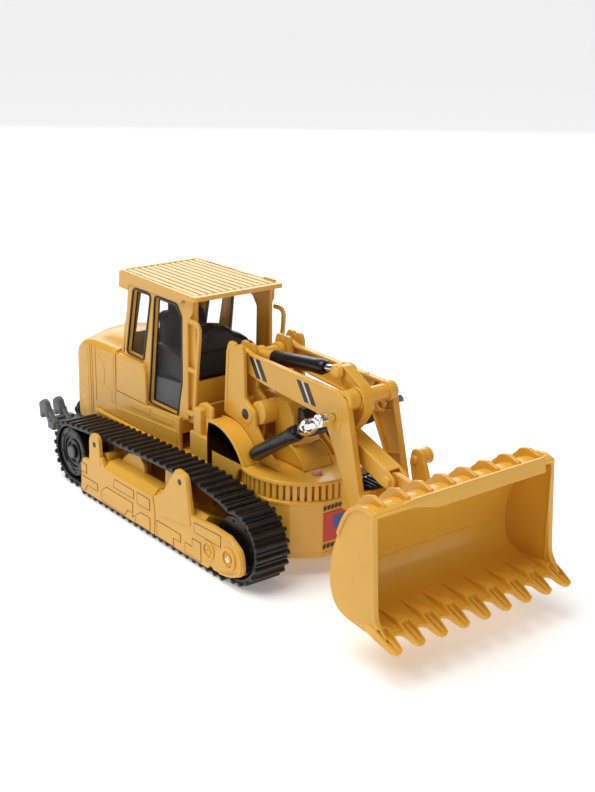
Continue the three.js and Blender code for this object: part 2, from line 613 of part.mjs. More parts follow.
function makeBucket() {
  const { half, plate: thick, teeth, toothPitch, toothWidth, ribs } = BUCKET;
  const back = [...bucketBack(0), [239, 29.5], [239, 32.5], ...bucketBack(3).reverse()];
  const shell = plate(back, -half, half);
  const cheekLine = [...bucketBack(0), [240, 29.5], [246, 31], [238, 35], [233.5, 48], [230, 111]];
  const cheek = plate(cheekLine, -half, -half + thick);
  const spill = plate([[226, 111], [229, 111], [231.5, 117], [229, 118]], -52, half - 6);
  const solids = [shell, cheek, mirrorY(cheek), spill];
  const toothLine = [[214, 31.6], [238, 28.5], [254, 26.2], [254, 28.6], [240, 34.5], [216, 35.2]];
  for (let i = 0; i < teeth; i += 1) {
    const y = (i - (teeth - 1) / 2) * toothPitch;
    const blade = plate(toothLine, y - toothWidth / 2, y + toothWidth / 2);
    const channel = block(241, 260, y - 2.4, y + 2.4, 28.6, 40);
    solids.push(blade.subtract(channel));
  }
  const ribLine = [...bucketBack(-5).slice(1, 6), ...bucketBack(1).slice(1, 6).reverse()];
  for (let i = 0; i < ribs; i += 1) {
    const y = (i - (ribs - 1) / 2) * 20.5;
    solids.push(plate([[222, 113], ...ribLine], y - 1.2, y + 1.2));
  }
  const hingeRoot = [192, 62];
  for (const [y0, y1] of [[-28.5, -24.5], [-18.5, -14.5], [14.5, 18.5], [24.5, 28.5]]) {
    solids.push(lug(BUCKET_PIVOT, 8, y0, y1, hingeRoot));
  }
  const linkY = (CRANK.near + CRANK.far) / 2;
  solids.push(lug(LINK_FRONT, 6, linkY - 2.4, linkY + 2.4, [195, 84]));
  solids.push(eyeBar(BUCKET_PIVOT, 7, [155, 104], 6.5, 24.5, 28.5), drum([155, 104], 6, 28, 40));
  const inside = block(150, 230, -29, 41, 45, 110).intersect(plate(insideBucket(), -29, 41));
  const bore = drum(BUCKET_PIVOT, SHAFT_R + GAP, -40, 40, 16);
  add("bucket", cut(join(...solids), inside, bore), YELLOW);
  addPair("bucket_pin", drum(BUCKET_PIVOT, SHAFT_R, -29.5, -14, 16), STEEL);
}

// The room in front of the bucket's back, kept clear of its lugs.
function insideBucket() {
  return [...bucketBack(3).slice(1), [232, 33], [232, 108]];
}

// ---- ripper -------------------------------------------------------------------------------------
function makeRipper() {
  const beam = block(-246, -236, -60, 60, 27, 36);
  const claw = [[-237, 28], [-237, 36], [-249, 43], [-254, 50], [-262, 49], [-264, 33], [-259, 31.5], [-255, 36], [-246, 28]];
  const solids = [beam];
  for (const y of [-57.5, -43.5, -14, 14, 43.5, 57.5]) {
    solids.push(plate(claw, y - 2.5, y + 2.5));
  }
  for (const y of [-29, 29]) {
    solids.push(eyeBar(RIPPER_PIVOT, 5, [-241, 32], 4.5, y - 3, y + 3));
  }
  const bores = drum(RIPPER_PIVOT, 2.4, -40, 40, 14);
  add("ripper", cut(join(...solids), bores), GREY);
  const base = block(-225.5, -222.3, -37.5, -20.5, 44.5, 58);
  const cheeks = [
    eyeBar(RIPPER_PIVOT, 5.5, [-224, 52], 5.5, -37.5, -32.3),
    eyeBar(RIPPER_PIVOT, 5.5, [-224, 52], 5.5, -25.7, -20.5),
  ];
  const pin = drum(RIPPER_PIVOT, 2.1, -37, -21, 14);
  const bodyRoom = block(-222.3, -200, -60, 60, 30, 80);
  addPair("ripper_bracket", cut(join(base, ...cheeks, pin), bodyRoom), BLACK);
}

makeHull();
makeBellyCover();
makeBatteryAndBoard();
makeDrive();
makeBelts();
makeWheels();
makeTrackFrames();
makeBodyShell();
makeCab();
makeGlazing();
makeRoof();
makeInterior();
makeHandrails();
makeTurntable();
makeMastHousing();
makeMasts();
makeFenders();
makeLiftArms();
makeBellCrank();
makeBucketLink();
makeTiltCylinder();
makeLiftCylinders();
makeBucket();
makeRipper();

export default machine;
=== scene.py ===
"""Looks of the toy track loader: moulded shells, rubber belts, linkage, bucket, light and camera.

Shapes are written in millimetres in the design frame (+X forward, +Y left, +Z up), whose origin
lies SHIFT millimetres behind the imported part's origin; piece() turns them into metres.
"""
import math

import bmesh
import bpy
from mathutils import Matrix, Vector
from mathutils.geometry import tessellate_polygon


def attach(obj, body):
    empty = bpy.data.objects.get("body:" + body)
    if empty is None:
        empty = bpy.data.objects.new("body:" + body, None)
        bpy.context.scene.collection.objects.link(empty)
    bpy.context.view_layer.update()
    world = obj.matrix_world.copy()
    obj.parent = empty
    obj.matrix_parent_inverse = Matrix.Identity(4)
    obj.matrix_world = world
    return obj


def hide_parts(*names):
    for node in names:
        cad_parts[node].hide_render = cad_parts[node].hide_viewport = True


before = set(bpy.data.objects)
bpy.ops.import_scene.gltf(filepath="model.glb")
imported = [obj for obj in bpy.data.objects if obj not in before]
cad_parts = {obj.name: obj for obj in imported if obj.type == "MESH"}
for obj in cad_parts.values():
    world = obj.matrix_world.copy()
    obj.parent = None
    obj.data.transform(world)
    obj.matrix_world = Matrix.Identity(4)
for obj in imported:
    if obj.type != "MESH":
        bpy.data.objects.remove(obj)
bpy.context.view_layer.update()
SHIFT = 5.0
MM = 0.001

ARM_PIVOT = (6, 150)
CROSS_TUBE = (127, 148)
CRANK_TOP = (108, 162.4)
CRANK_LOW = (110, 118)
LINK_FRONT = (165, 98)
BUCKET_PIVOT = (164, 60)
LIFT_BASE = (41, 85)
LIFT_END = (118, 134)
SPROCKET = (-175, 28.5, 28.5)
IDLER = (70, 30, 30)
RIPPER_PIVOT = (-231.5, 44)
FRONT_HOLE, REAR_HOLE = (8.6, 62.6), (-121, 53.3)
TILT_Y, LIFT_Y = -7, -35.4
FRAME_PLATE = (-82.8, -79.2)
GLASS_PLANES = (-36.6, -36.0)
RING_X = 52
BOW_X = 98
SHARP_EDGE = math.radians(52)
SIDES = ((-1, "right"), (1, "left"))


# ---- outlines ----------------------------------------------------------------------------------
def rounded(points, steps=5):
    """Corner points (a, b) or (a, b, radius) as a closed outline with its corners rounded."""
    path = []
    for i, point in enumerate(points):
        corner = Vector(point[:2])
        radius = point[2] if len(point) > 2 else 0
        back = Vector(points[i - 1][:2]) - corner
        ahead = Vector(points[(i + 1) % len(points)][:2]) - corner
        if radius <= 0 or back.length < 1e-6 or ahead.length < 1e-6:
            path.append(corner)
            continue
        half = back.angle(ahead) / 2
        if half > 1.53:
            path.append(corner)
            continue
        reach = min(radius / math.tan(half), back.length * 0.48, ahead.length * 0.48)
        radius = reach * math.tan(half)
        inward = (back.normalized() + ahead.normalized()).normalized()
        centre = corner + inward * (radius / math.sin(half))
        start = corner + back.normalized() * reach - centre
        end = corner + ahead.normalized() * reach - centre
        turn = start.angle_signed(end)
        for k in range(steps + 1):
            a = -turn * k / steps
            c, s = math.cos(a), math.sin(a)
            path.append(centre + Vector((start.x * c - start.y * s, start.x * s + start.y * c)))
    return path


def area(path):
    return sum(a.x * b.y - b.x * a.y for a, b in zip(path, path[1:] + path[:1])) / 2


def offset(path, distance):
    """The outline moved inwards by distance (outwards if it is negative)."""
    turn = 1 if area(path) > 0 else -1
    moved = []
    for i, point in enumerate(path):
        a = (point - path[i - 1]).normalized()
        b = (path[(i + 1) % len(path)] - point).normalized()
        na, nb = Vector((-a.y, a.x)) * turn, Vector((-b.y, b.x)) * turn
        bisector = (na + nb) / max(1 + na.dot(nb), 0.35)
        moved.append(point + bisector * distance)
    return moved


def rect(a0, a1, b0, b1, radius=0.0):
    """A rectangle's outline with its corners rounded."""
    return [(a0, b0, radius), (a1, b0, radius), (a1, b1, radius), (a0, b1, radius)]


def circle(a, b, radius, steps=20):
    return [Vector((a + radius * math.cos(t), b + radius * math.sin(t)))
            for t in (2 * math.pi * k / steps for k in range(steps))]


def arc(a, b, radius, start, end, steps=12):
    """Points on an arc, angles in degrees."""
    angles = [math.radians(start + (end - start) * k / steps) for k in range(steps + 1)]
    return [(a + radius * math.cos(t), b + radius * math.sin(t)) for t in angles]


def as_path(outline):
    path = rounded(outline) if not isinstance(outline[0], Vector) else list(outline)
    return [p for i, p in enumerate(path) if (p - path[i - 1]).length > 1e-4]


# ---- solids ------------------------------------------------------------------------------------
AXES = {"y": lambda u, v, w: (u, w, v), "z": lambda u, v, w: (u, v, w), "x": lambda u, v, w: (w, u, v)}


def plate(outline, low, high, across="y", holes=(), soft=0.45, warp=None):
    """An outline extruded across an axis with rounded rims; holes are outlines too."""
    bm = bmesh.new()
    loops = [as_path(outline)] + [as_path(hole) for hole in holes]
    soft = min(soft, (high - low) * 0.45)
    levels = []
    for angle in (0, 45, 90):
        t = math.radians(angle)
        levels.append((soft * (1 - math.sin(t)), soft * (1 - math.cos(t))))
    heights = [(i, low + h) for i, h in levels] + [(i, high - h) for i, h in reversed(levels)]
    place = AXES[across]
    caps = {0: [], len(heights) - 1: []}
    for number, loop in enumerate(loops):
        rings = []
        for level, (inset, height) in enumerate(heights):
            ring = offset(loop, inset if number == 0 else -inset)
            if level in caps:
                caps[level].append(ring)
            rings.append([bm.verts.new(place(p.x, p.y, height)) for p in ring])
        for lower, upper in zip(rings, rings[1:]):
            for i in range(len(lower)):
                bm.faces.new((lower[i - 1], lower[i], upper[i], upper[i - 1]))
        for level, store in caps.items():
            store[-1] = (store[-1], rings[level])
    for store in caps.values():
        flat = [[Vector((p.x, p.y, 0)) for p in ring] for ring, _ in store]
        verts = [v for _, ring in store for v in ring]
        for tri in tessellate_polygon(flat):
            try:
                bm.faces.new([verts[i] for i in tri])
            except ValueError:
                pass
    if warp:
        for v in bm.verts:
            v.co = Vector(warp(*v.co))
    bmesh.ops.recalc_face_normals(bm, faces=bm.faces)
    return bm


def brick(x0, x1, y0, y1, z0, z1, soft=0.5, corner=0.8):
    """A box with rounded edges."""
    return plate(rect(x0, x1, z0, z1, corner), y0, y1, soft=soft)


def loft(rings):
    """Skins rings of equally many 3-D points, first to last, and closes both ends."""
    bm = bmesh.new()
    made = [[bm.verts.new(p) for p in ring] for ring in rings]
    for lower, upper in zip(made, made[1:]):
        for i in range(len(lower)):
            bm.faces.new((lower[i - 1], lower[i], upper[i], upper[i - 1]))
    bm.faces.new(made[0])
    bm.faces.new(made[-1])
    bmesh.ops.recalc_face_normals(bm, faces=bm.faces)
    return bm


def frame_of(direction):
    direction = Vector(direction).normalized()
    side = direction.cross(Vector((0, 1, 0)))
    if side.length < 0.1:
        side = direction.cross(Vector((1, 0, 0)))
    side.normalize()
    return side, direction.cross(side)


def turned(profile, origin, direction, steps=32, closed=False):
    """A profile of (radius, distance) spun about a line; it starts and ends on the line unless closed."""
    bm = bmesh.new()
    origin, axis = Vector(origin), Vector(direction).normalized()
    side, up = frame_of(axis)
    rings = []
    for radius, along in profile:
        base = origin + axis * along
        if radius < 1e-6:
            rings.append([bm.verts.new(base)])
            continue
        ring = []
        for k in range(steps):
            t = 2 * math.pi * k / steps
            ring.append(bm.verts.new(base + (side * math.cos(t) + up * math.sin(t)) * radius))
        rings.append(ring)
    pairs = list(zip(rings, rings[1:]))
    if closed:
        pairs.append((rings[-1], rings[0]))
    for a, b in pairs:
        for i in range(steps):
            if len(a) == 1:
                bm.faces.new((a[0], b[i], b[i - 1]))
            elif len(b) == 1:
                bm.faces.new((a[i - 1], a[i], b[0]))
            else:
                bm.faces.new((a[i - 1], a[i], b[i], b[i - 1]))
    bmesh.ops.recalc_face_normals(bm, faces=bm.faces)
    return bm


def pin(a, b, y0, y1, radius, soft=0.4, steps=24):
    """A round pin along Y at (a, b) in the side view, with rounded rims."""
    length = y1 - y0
    soft = min(soft, length * 0.4, radius * 0.4)
    profile = [(0, 0), (radius - soft, 0), (radius - soft * 0.3, soft * 0.3), (radius, soft),
               (radius, length - soft), (radius - soft * 0.3, length - soft * 0.3),
               (radius - soft, length), (0, length)]
    return turned(profile, (a, y0, b), (0, 1, 0), steps)


def ring_y(a, b, y0, y1, outer, inner, soft=0.35, steps=28):
    length = y1 - y0
    soft = min(soft, length * 0.4, (outer - inner) * 0.4)
    profile = [(inner + soft, 0), (outer - soft, 0), (outer, soft), (outer, length - soft),
               (outer - soft, length), (inner + soft, length), (inner, length - soft), (inner, soft)]
    return turned(profile, (a, y0, b), (0, 1, 0), steps, closed=True)


def screw(x, y, z, direction, radius=1.6, height=0.9):
    """A round screw head with a round recess in its top, standing on a face."""
    profile = [(0, height * 0.55), (radius * 0.34, height * 0.6), (radius * 0.36, height),
               (radius * 0.8, height * 0.86), (radius, height * 0.4), (radius, -0.4), (0, -0.4)]
    return turned(profile, (x, y, z), direction, 16)


def head(radius, side, height):
    """The profile of a nut or bolt head whose rim is bevelled."""
    return [(0, 0), (radius, 0), (radius, side), (radius - 0.8, height), (0, height)]


def flat_rail(points, half):
    """The outline of a bar of that half width along points in the side view."""
    points = [Vector(p) for p in points]
    left, right = [], []
    for i, p in enumerate(points):
        tangent = (points[min(i + 1, len(points) - 1)] - points[max(i - 1, 0)]).normalized()
        normal = Vector((-tangent.y, tangent.x)) * half
        left.append(tuple(p + normal))
        right.append(tuple(p - normal))
    return left + right[::-1]


def smooth_line(points, steps=4):
    """A smooth curve through the points."""
    out = []
    for i in range(len(points) - 1):
        p0, p1 = Vector(points[max(i - 1, 0)]), Vector(points[i])
        p2, p3 = Vector(points[i + 1]), Vector(points[min(i + 2, len(points) - 1)])
        for k in range(steps):
            t = k / steps
            out.append(0.5 * ((2 * p1) + (p2 - p0) * t + (2 * p0 - 5 * p1 + 4 * p2 - p3) * t * t
                              + (3 * p1 - p0 - 3 * p2 + p3) * t ** 3))
    out.append(Vector(points[-1]))
    return out


def mirrored(bm):
    copy = bm.copy()
    for v in copy.verts:
        v.co.y = -v.co.y
    bmesh.ops.recalc_face_normals(copy, faces=copy.faces)
    return copy


# ---- materials ---------------------------------------------------------------------------------
def shader(name, colour, rough, metal=0.0, tint=0.08, grain=900.0, bump=0.03, rough_var=0.08,
           dust=None, coat=0.0, alpha=1.0, edge=0.0):
    """A moulded or plated surface: mottled colour, uneven gloss, fine grain and a painted highlight that
    lightens convex edges.
    """
    material = bpy.data.materials.new(name)
    material.use_nodes = True
    tree = material.node_tree
    nodes, links = tree.nodes, tree.links
    bsdf = nodes["Principled BSDF"]
    bsdf.inputs["Metallic"].default_value = metal
    bsdf.inputs["Coat Weight"].default_value = coat
    bsdf.inputs["Coat Roughness"].default_value = 0.12
    bsdf.inputs["Alpha"].default_value = alpha
    where = nodes.new("ShaderNodeTexCoord")

    def noise(scale, detail=3.0, rough_=0.5):
        node = nodes.new("ShaderNodeTexNoise")
        node.inputs["Scale"].default_value = scale
        node.inputs["Detail"].default_value = detail
        node.inputs["Roughness"].default_value = rough_
        links.new(where.outputs["Object"], node.inputs["Vector"])
        return node

    def ramp(source, stops):
        node = nodes.new("ShaderNodeValToRGB")
        while len(node.color_ramp.elements) < len(stops):
            node.color_ramp.elements.new(0.5)
        for element, (place, value) in zip(node.color_ramp.elements, stops):
            element.position = place
            element.color = (*value, 1)
        links.new(source, node.inputs["Fac"])
        return node

    def shade(factor):
        return tuple(min(1.0, c * factor) for c in colour)

    mottle = noise(38.0, 4.0)
    body = ramp(mottle.outputs["Fac"], [(0.3, shade(1 - tint)), (0.55, colour), (0.75, shade(1 + tint))])
    result = body.outputs["Color"]
    if dust:
        specks = noise(160.0, 6.0, 0.7)
        mask = ramp(specks.outputs["Fac"], [(0.5, (0, 0, 0)), (0.78, (1, 1, 1))])
        mix = nodes.new("ShaderNodeMix")
        mix.data_type = "RGBA"
        mix.inputs[7].default_value = (*dust, 1)
        links.new(mask.outputs["Color"], mix.inputs[0])
        links.new(result, mix.inputs[6])
        result = mix.outputs[2]
    # painted highlight: convex edges (high pointiness) are mixed towards a 35% brighter copy of the colour
    if edge > 0:
        geometry = nodes.new("ShaderNodeNewGeometry")
        edge_highlight_mask = ramp(geometry.outputs["Pointiness"], [(0.52, (0, 0, 0)), (0.62, (edge, edge, edge))])
        mix = nodes.new("ShaderNodeMix")
        mix.data_type = "RGBA"
        mix.inputs[7].default_value = (*shade(1.35), 1)
        links.new(edge_highlight_mask.outputs["Color"], mix.inputs[0])
        links.new(result, mix.inputs[6])
        result = mix.outputs[2]
    links.new(result, bsdf.inputs["Base Color"])
    gloss = noise(90.0, 5.0, 0.6)
    spread = nodes.new("ShaderNodeMapRange")
    spread.inputs["To Min"].default_value = max(0.02, rough - rough_var)
    spread.inputs["To Max"].default_value = min(1.0, rough + rough_var)
    links.new(gloss.outputs["Fac"], spread.inputs["Value"])
    links.new(spread.outputs["Result"], bsdf.inputs["Roughness"])
    if bump > 0:
        fine = noise(grain, 2.0)
        height = nodes.new("ShaderNodeBump")
        height.inputs["Strength"].default_value = bump
        height.inputs["Distance"].default_value = 0.0004
        links.new(fine.outputs["Fac"], height.inputs["Height"])
        links.new(height.outputs["Normal"], bsdf.inputs["Normal"])
    return material


# edge=0.3 paints a lighter highlight along the yellow's convex edges
YELLOW = shader("yellow_plastic", (0.76, 0.40, 0.04), 0.34, tint=0.04, grain=1500, bump=0.05, coat=0.2,
                edge=0.3)
BLACK = shader("black_plastic", (0.006, 0.006, 0.0065), 0.3, tint=0.25, grain=1300, bump=0.06)
SATIN = shader("black_interior", (0.012, 0.0115, 0.011), 0.5, tint=0.3, grain=900, bump=0.12)
RUBBER = shader("track_rubber", (0.007, 0.007, 0.0078), 0.36, tint=0.3, grain=700, bump=0.2, rough_var=0.12,
                dust=(0.02, 0.02, 0.02))
GREY = shader("dark_grey_plastic", (0.11, 0.112, 0.118), 0.42, tint=0.15, grain=1100, bump=0.1)
CHROME = shader("chrome_plate", (0.86, 0.86, 0.85), 0.07, metal=1.0, tint=0.03, grain=500, bump=0.02,
                rough_var=0.03)
STEEL = shader("plain_steel", (0.55, 0.55, 0.56), 0.3, metal=1.0, tint=0.08, grain=1200, bump=0.08)
GLASS = shader("smoky_glazing", (0.05, 0.05, 0.052), 0.05, tint=0.02, bump=0.0, rough_var=0.02, alpha=0.1)
# black print for stripes and decal bars; also the painted shade that fills the track frame's holes
BLACK_PRINT_AND_HOLE_SHADE = shader("black_print_and_hole_shade", (0.02, 0.018, 0.016), 0.42, tint=0.2, grain=1500, bump=0.04)
# painted shade: the yellow's shaded dark orange, drawn into panel grooves and slots
PANEL_SHADE = shader("painted_panel_shade", (0.20, 0.075, 0.008), 0.6, tint=0.1, grain=1500, bump=0.04)
SILVER = shader("silver_print", (0.72, 0.70, 0.66), 0.4, tint=0.05, grain=1500, bump=0.04)
RED = shader("red_print", (0.62, 0.05, 0.035), 0.4, tint=0.1, grain=1500, bump=0.04)
BLUE = shader("blue_print", (0.05, 0.12, 0.42), 0.4, tint=0.1, grain=1500, bump=0.04)
PINK = shader("screw_cap", (0.55, 0.28, 0.22), 0.4, tint=0.1, grain=1200, bump=0.06)
WHITE = shader("white_plastic", (0.75, 0.72, 0.66), 0.4, tint=0.05, grain=1200, bump=0.05)
BOARD = shader("board_green", (0.02, 0.16, 0.06), 0.4, tint=0.2, grain=600, bump=0.1)
CELL = shader("cell_blue", (0.03, 0.11, 0.4), 0.3, tint=0.1, grain=900, bump=0.05)


def piece(name, shapes, material, body="chassis", replaces=()):
    """Joins shapes into one object in metres that rides on a body."""
    mesh = bpy.data.meshes.new(name)
    whole = bmesh.new()
    for shape in shapes:
        part = bpy.data.meshes.new("part")
        shape.to_mesh(part)
        whole.from_mesh(part)
        bpy.data.meshes.remove(part)
        shape.free()
    for v in whole.verts:
        v.co = Vector(((v.co.x + SHIFT) * MM, v.co.y * MM, v.co.z * MM))
    whole.to_mesh(mesh)
    whole.free()
    mesh.shade_smooth()
    mesh.set_sharp_from_angle(angle=SHARP_EDGE)
    mesh.materials.append(material)
    thing = bpy.data.objects.new(name, mesh)
    bpy.context.scene.collection.objects.link(thing)
    normals = thing.modifiers.new("flat_faces", "WEIGHTED_NORMAL")
    normals.keep_sharp = True
    normals.weight = 60
    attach(thing, body)
    if replaces:
        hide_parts(*replaces)
    return thing


def sided(name, build, material, body="chassis", replaces=None):
    """Makes NAME_right from build() on the right and its mirror image on the left."""
    for sign, side in SIDES:
        shapes = build()
        if sign > 0:
            shapes = [mirrored(shape) for shape in shapes]
        where = body.replace("*", side)
        nodes = [replaces.replace("*", side)] if replaces else ()
        piece(name + "_" + side, shapes, material, where, nodes)


# ---- tracks ------------------------------------------------------------------------------------
def belt_points():
    """Evenly spaced (point, tangent) round the belt's outer face."""
    rough = arc(*SPROCKET, -90, -270, 40)
    run = [(-140, 60.5), (-95, 63.5), (-45, 65.8), (0, 66.8), (30, 65.8), (54, 62.4)]
    knots = [rough[-1]] + run + [(IDLER[0] + IDLER[2] * math.cos(1.822),
                                  IDLER[1] + IDLER[2] * math.sin(1.822))]
    rough += smooth_line(knots, 8)[1:]
    rough += arc(*IDLER, 104.4, -90, 44)[1:]
    path = [Vector(p) for p in rough]
    lengths = [(path[(i + 1) % len(path)] - p).length for i, p in enumerate(path)]
    total = sum(lengths)

    def at(u):
        left = (u % 1.0) * total
        for i, length in enumerate(lengths):
            if left <= length:
                ahead = path[(i + 1) % len(path)]
                return path[i].lerp(ahead, left / max(length, 1e-9)), (ahead - path[i]).normalized()
            left -= length
        return path[0], (path[1] - path[0]).normalized()

    return at


BELT_AT = belt_points()
PITCHES = 72


def belt_offset(u, depth):
    point, tangent = BELT_AT(u)
    return point + Vector((tangent.y, -tangent.x)) * depth


def belt():
    count = PITCHES * 3
    outer = [belt_offset(i / count, 2.5) for i in range(count)]
    inner = [belt_offset(i / count, 5.3) for i in range(count)]
    shapes = [plate(outer, -76.8, -48.2, holes=[inner], soft=0.5)]
    for i in range(PITCHES):
        for u, width, top, low, high in ((0.0, 3.0, 0.0, -77.9, -47.1), (0.5, 1.8, 1.5, -76.9, -48.1)):
            point, tangent = BELT_AT((i + u) / PITCHES)
            reach = low - 3.6 if point.y < 0.6 and -152 < point.x < 60 else low
            inward = Vector((tangent.y, -tangent.x))
            a, b = tangent * (width / 2), inward
            foot = tangent * (width / 2 + 0.7)
            profile = [point - foot + b * 2.9, point - a + b * (top + 0.6), point - a * 0.6 + b * top,
                       point + a * 0.6 + b * top, point + a + b * (top + 0.6), point + foot + b * 2.9]
            shapes.append(plate(profile, reach, high, soft=0.55))
    return shapes


def wheel(x, z, radius, dished):
    front = -75.0
    profile = [(0, 0), (6.2, 0), (6.2, 1.6), (7.4, 2.2), (9.6, 2.2), (9.6, 1.0), (11, 1.0), (11.4, 2.4),
               (14, 2.6), (14.4, 1.4), (16.6, 1.4), (17.2, 0.2), (radius - 1.2, 0.0), (radius, 1.2),
               (radius, 24), (0, 24)]
    if not dished:
        profile = [(0, 0), (radius - 5, 0.6), (radius - 1.2, 0), (radius, 1.2), (radius, 24), (0, 24)]
    shapes = [turned(profile, (x, front, z), (0, 1, 0), 48)]
    for k in range(8):
        t = math.radians(45 * k + 12)
        shapes.append(pin(x + 19.2 * math.cos(t), z + 19.2 * math.sin(t), front - 0.5, front + 2, 1.1, 0.25,
                          10))
    return shapes


def track_frame_plate():
    rear = [(-148.5, 4.2, 2), (-30.9, 4.2, 0.6), (-29.4, 24, 6), (-32, 37, 0.6), (-106, 36.4, 3),
            (-110.5, 43.5, 1), (-113.5, 45, 1), (-114.4, 62.4, 6.4), (-128.6, 62.4, 6.4), (-131, 36.5, 1.5),
            (-143, 35.2, 3)]
    front = [(-29.7, 4.2, 0.6), (44, 4.2, 1), (46, 7, 1), (49, 7.4, 1), (52, 5.6, 1), (70, 7.5, 6),
             (90, 14, 9), (87.5, 33, 10), (72.5, 40.6, 4), (50, 41.5, 3), (23, 39.5, 1), (17, 70, 6.6),
             (3, 72.2, 6.4), (-19, 43.4, 2), (-30.8, 38, 0.6), (-28.2, 24, 6)]
    back_sheet = [(-146, 5, 2), (72, 8, 10), (86, 15, 8), (84, 31, 8), (70, 39.5), (-141, 33.5)]
    return [plate(rear, *FRAME_PLATE, holes=[circle(*REAR_HOLE, 2.1, 16)], soft=0.7),
            plate(front, *FRAME_PLATE, holes=[circle(*FRONT_HOLE, 2.1, 16)], soft=0.7),
            plate(back_sheet, -81.6, -78.9, soft=0.3)]


FRAME_PANELS = [
    [(-145.5, 22.5), (-135.5, 22.5), (-135.5, 31), (-145.5, 31)],
    [(-146, 6.4), (-139, 6.4), (-136, 12), (-118, 12), (-118, 19), (-146, 19)],
    [(-112, 6), (-75, 6), (-70, 12), (-62, 12), (-62, 21), (-104, 21), (-112, 15)],
    [(-58, 5), (-36, 5), (-36, 17), (-50, 17), (-58, 12)],
    [(-92, 25), (-60, 25), (-60, 32.6), (-90, 32.6)],
    [(-55, 23), (-36, 23), (-36, 33), (-55, 33)],
    [(-26, 5), (-2, 5), (-2, 12), (8, 12), (8, 19), (-26, 19)],
    [(14, 6), (36, 6), (36, 22), (24, 22), (24, 15), (14, 15)],
    [(27, 28), (62, 28), (62, 37.5), (27, 36)],
]


def track_frame_details():
    gusset = [(-26, 24, 1), (22.5, 31, 1), (16.6, 69.4, 6.3), (3.2, 71.4, 6.2)]
    lug = [(-130.2, 34, 1), (-112.8, 35.5, 1), (-112.9, 62, 8), (-129.2, 62, 8)]
    shapes = [plate(gusset, -83.6, -82.4, holes=[circle(*FRONT_HOLE, 2.4, 16)], soft=0.4),
              plate(lug, -83.3, -82.4, holes=[circle(*REAR_HOLE, 2.4, 16)], soft=0.35)]
    for outline in FRAME_PANELS:
        shapes.append(plate([(x, z, 0.8) for x, z in outline], -83.1, -82.5, soft=0.28))
    shapes += [plate(rect(-143.8, -137.2, 24.2, 29.3),
                     -83.6, -82.7, soft=0.3),
               ring_y(46, 20, -84.0, -82.4, 7.6, 5.6),
               ring_y(46, 20, -83.5, -82.4, 3.2, 1.2)]
    nose = [(60, 7.4), (73, 9.4), (84.6, 15), (87.2, 23), (84.4, 31.4), (76, 37.6), (60, 40)]
    shapes += [plate(flat_rail(smooth_line(nose, 4), 1.1), -83.8, -82.4, soft=0.5),
               ring_y(72, 22.5, -84.2, -82.4, 8.8, 6.4),
               pin(72, 22.5, -84.0, -82.4, 3.6, 0.5)]
    return shapes


def track_frame_body():
    deck = [(-79.4, 8), (-79.4, 38, 1), (-74, 41.6, 2), (-66, 37.5, 3), (-53, 31, 3), (-52, 8)]
    shoulder = [(-82.4, 30), (-82.4, 36.4, 3), (-77.6, 42, 4), (-68, 43, 2), (-60, 38, 2), (-60, 30)]
    shapes = [plate(deck, -138, 34, across="x", soft=0.8), plate(shoulder, -107, -32, across="x", soft=0.8)]
    bracket = [(-106, 33, 1), (-62, 33, 1), (-65, 50, 3), (-71, 56.5, 4), (-88, 53.5, 4), (-98, 45, 3)]
    shapes += [plate(bracket, -70, -66.5, soft=0.6),
               plate([(-88, 33), (-72, 33), (-73, 54, 3), (-86, 52, 3)], -67, -58, soft=0.8),
               plate([(-33, 33, 1), (-19, 33, 1), (-20, 62, 4), (-31, 61, 4)], -71, -61, soft=1.0),
               plate([(-116, 33), (-110, 33), (-110, 47, 1), (-116, 46.5, 1)], -77, -62, soft=0.6)]
    for x0, x1 in ((-128, -108), (6, 26)):
        shapes.append(plate(rect(x0, x1, 17.8, 30, 1.5), -54, -46.6, soft=0.6))
    for x in (-120, -90, -60, -30, 0, 30):
        shapes.append(pin(x, 10.5, -78, -52, 4.6, 0.8, 20))
    return shapes


sided("belt", belt, RUBBER, replaces="track_belt_*")
sided("drive_sprocket", lambda: wheel(SPROCKET[0], SPROCKET[1], 22.4, True), BLACK, "sprocket_*",
      "sprocket_*")
sided("sprocket_hub", lambda: [pin(SPROCKET[0], SPROCKET[1], -76.6, -74, 5.6, 0.7)], GREY, "sprocket_*")
sided("front_idler", lambda: wheel(IDLER[0], IDLER[1], 23.9, False), BLACK, "idler_*", "idler_*")
sided("track_plate", lambda: track_frame_plate() + track_frame_details() + track_frame_body(), YELLOW,
      replaces="track_frame_*")
# painted shade: thin dark orange rings round the raised panels stand for their shaded grooves
sided("track_panel_shade_lines", lambda: [plate(as_path(outline), -83.16, -82.9, holes=[offset(as_path(outline), 0.5)],
                                    soft=0.05)
                              for outline in FRAME_PANELS], PANEL_SHADE)
sided("track_bolt", lambda: [screw(72, -84.0, 22.5, (0, -1, 0), 2.2)], CHROME)
# painted shade: black plugs fill the frame's holes so that they read as dark hollows
sided("track_hole_shade_plugs", lambda: [pin(*REAR_HOLE, -83.4, -80, 2.2, 0.2, 14),
                              pin(*FRONT_HOLE, -83.7, -80, 2.4, 0.2, 14),
                              pin(-62, 9.6, -83.2, -82, 1.0, 0.2, 10)], BLACK_PRINT_AND_HOLE_SHADE)


# ---- hull --------------------------------------------------------------------------------------
def hull_plan(inset=0.0, corner=5.0):
    half, nose, shoulder = 46 - inset, 16 - inset * 0.4, 36.5 - inset
    return [(-186 + inset, -half, corner), (70, -half, 3), (84 - inset * 0.5, -shoulder, 5),
            (98 - inset, -nose, 2.5), (98 - inset, nose, 2.5), (84 - inset * 0.5, shoulder, 5),
            (70, half, 3), (-186 + inset, half, corner)]


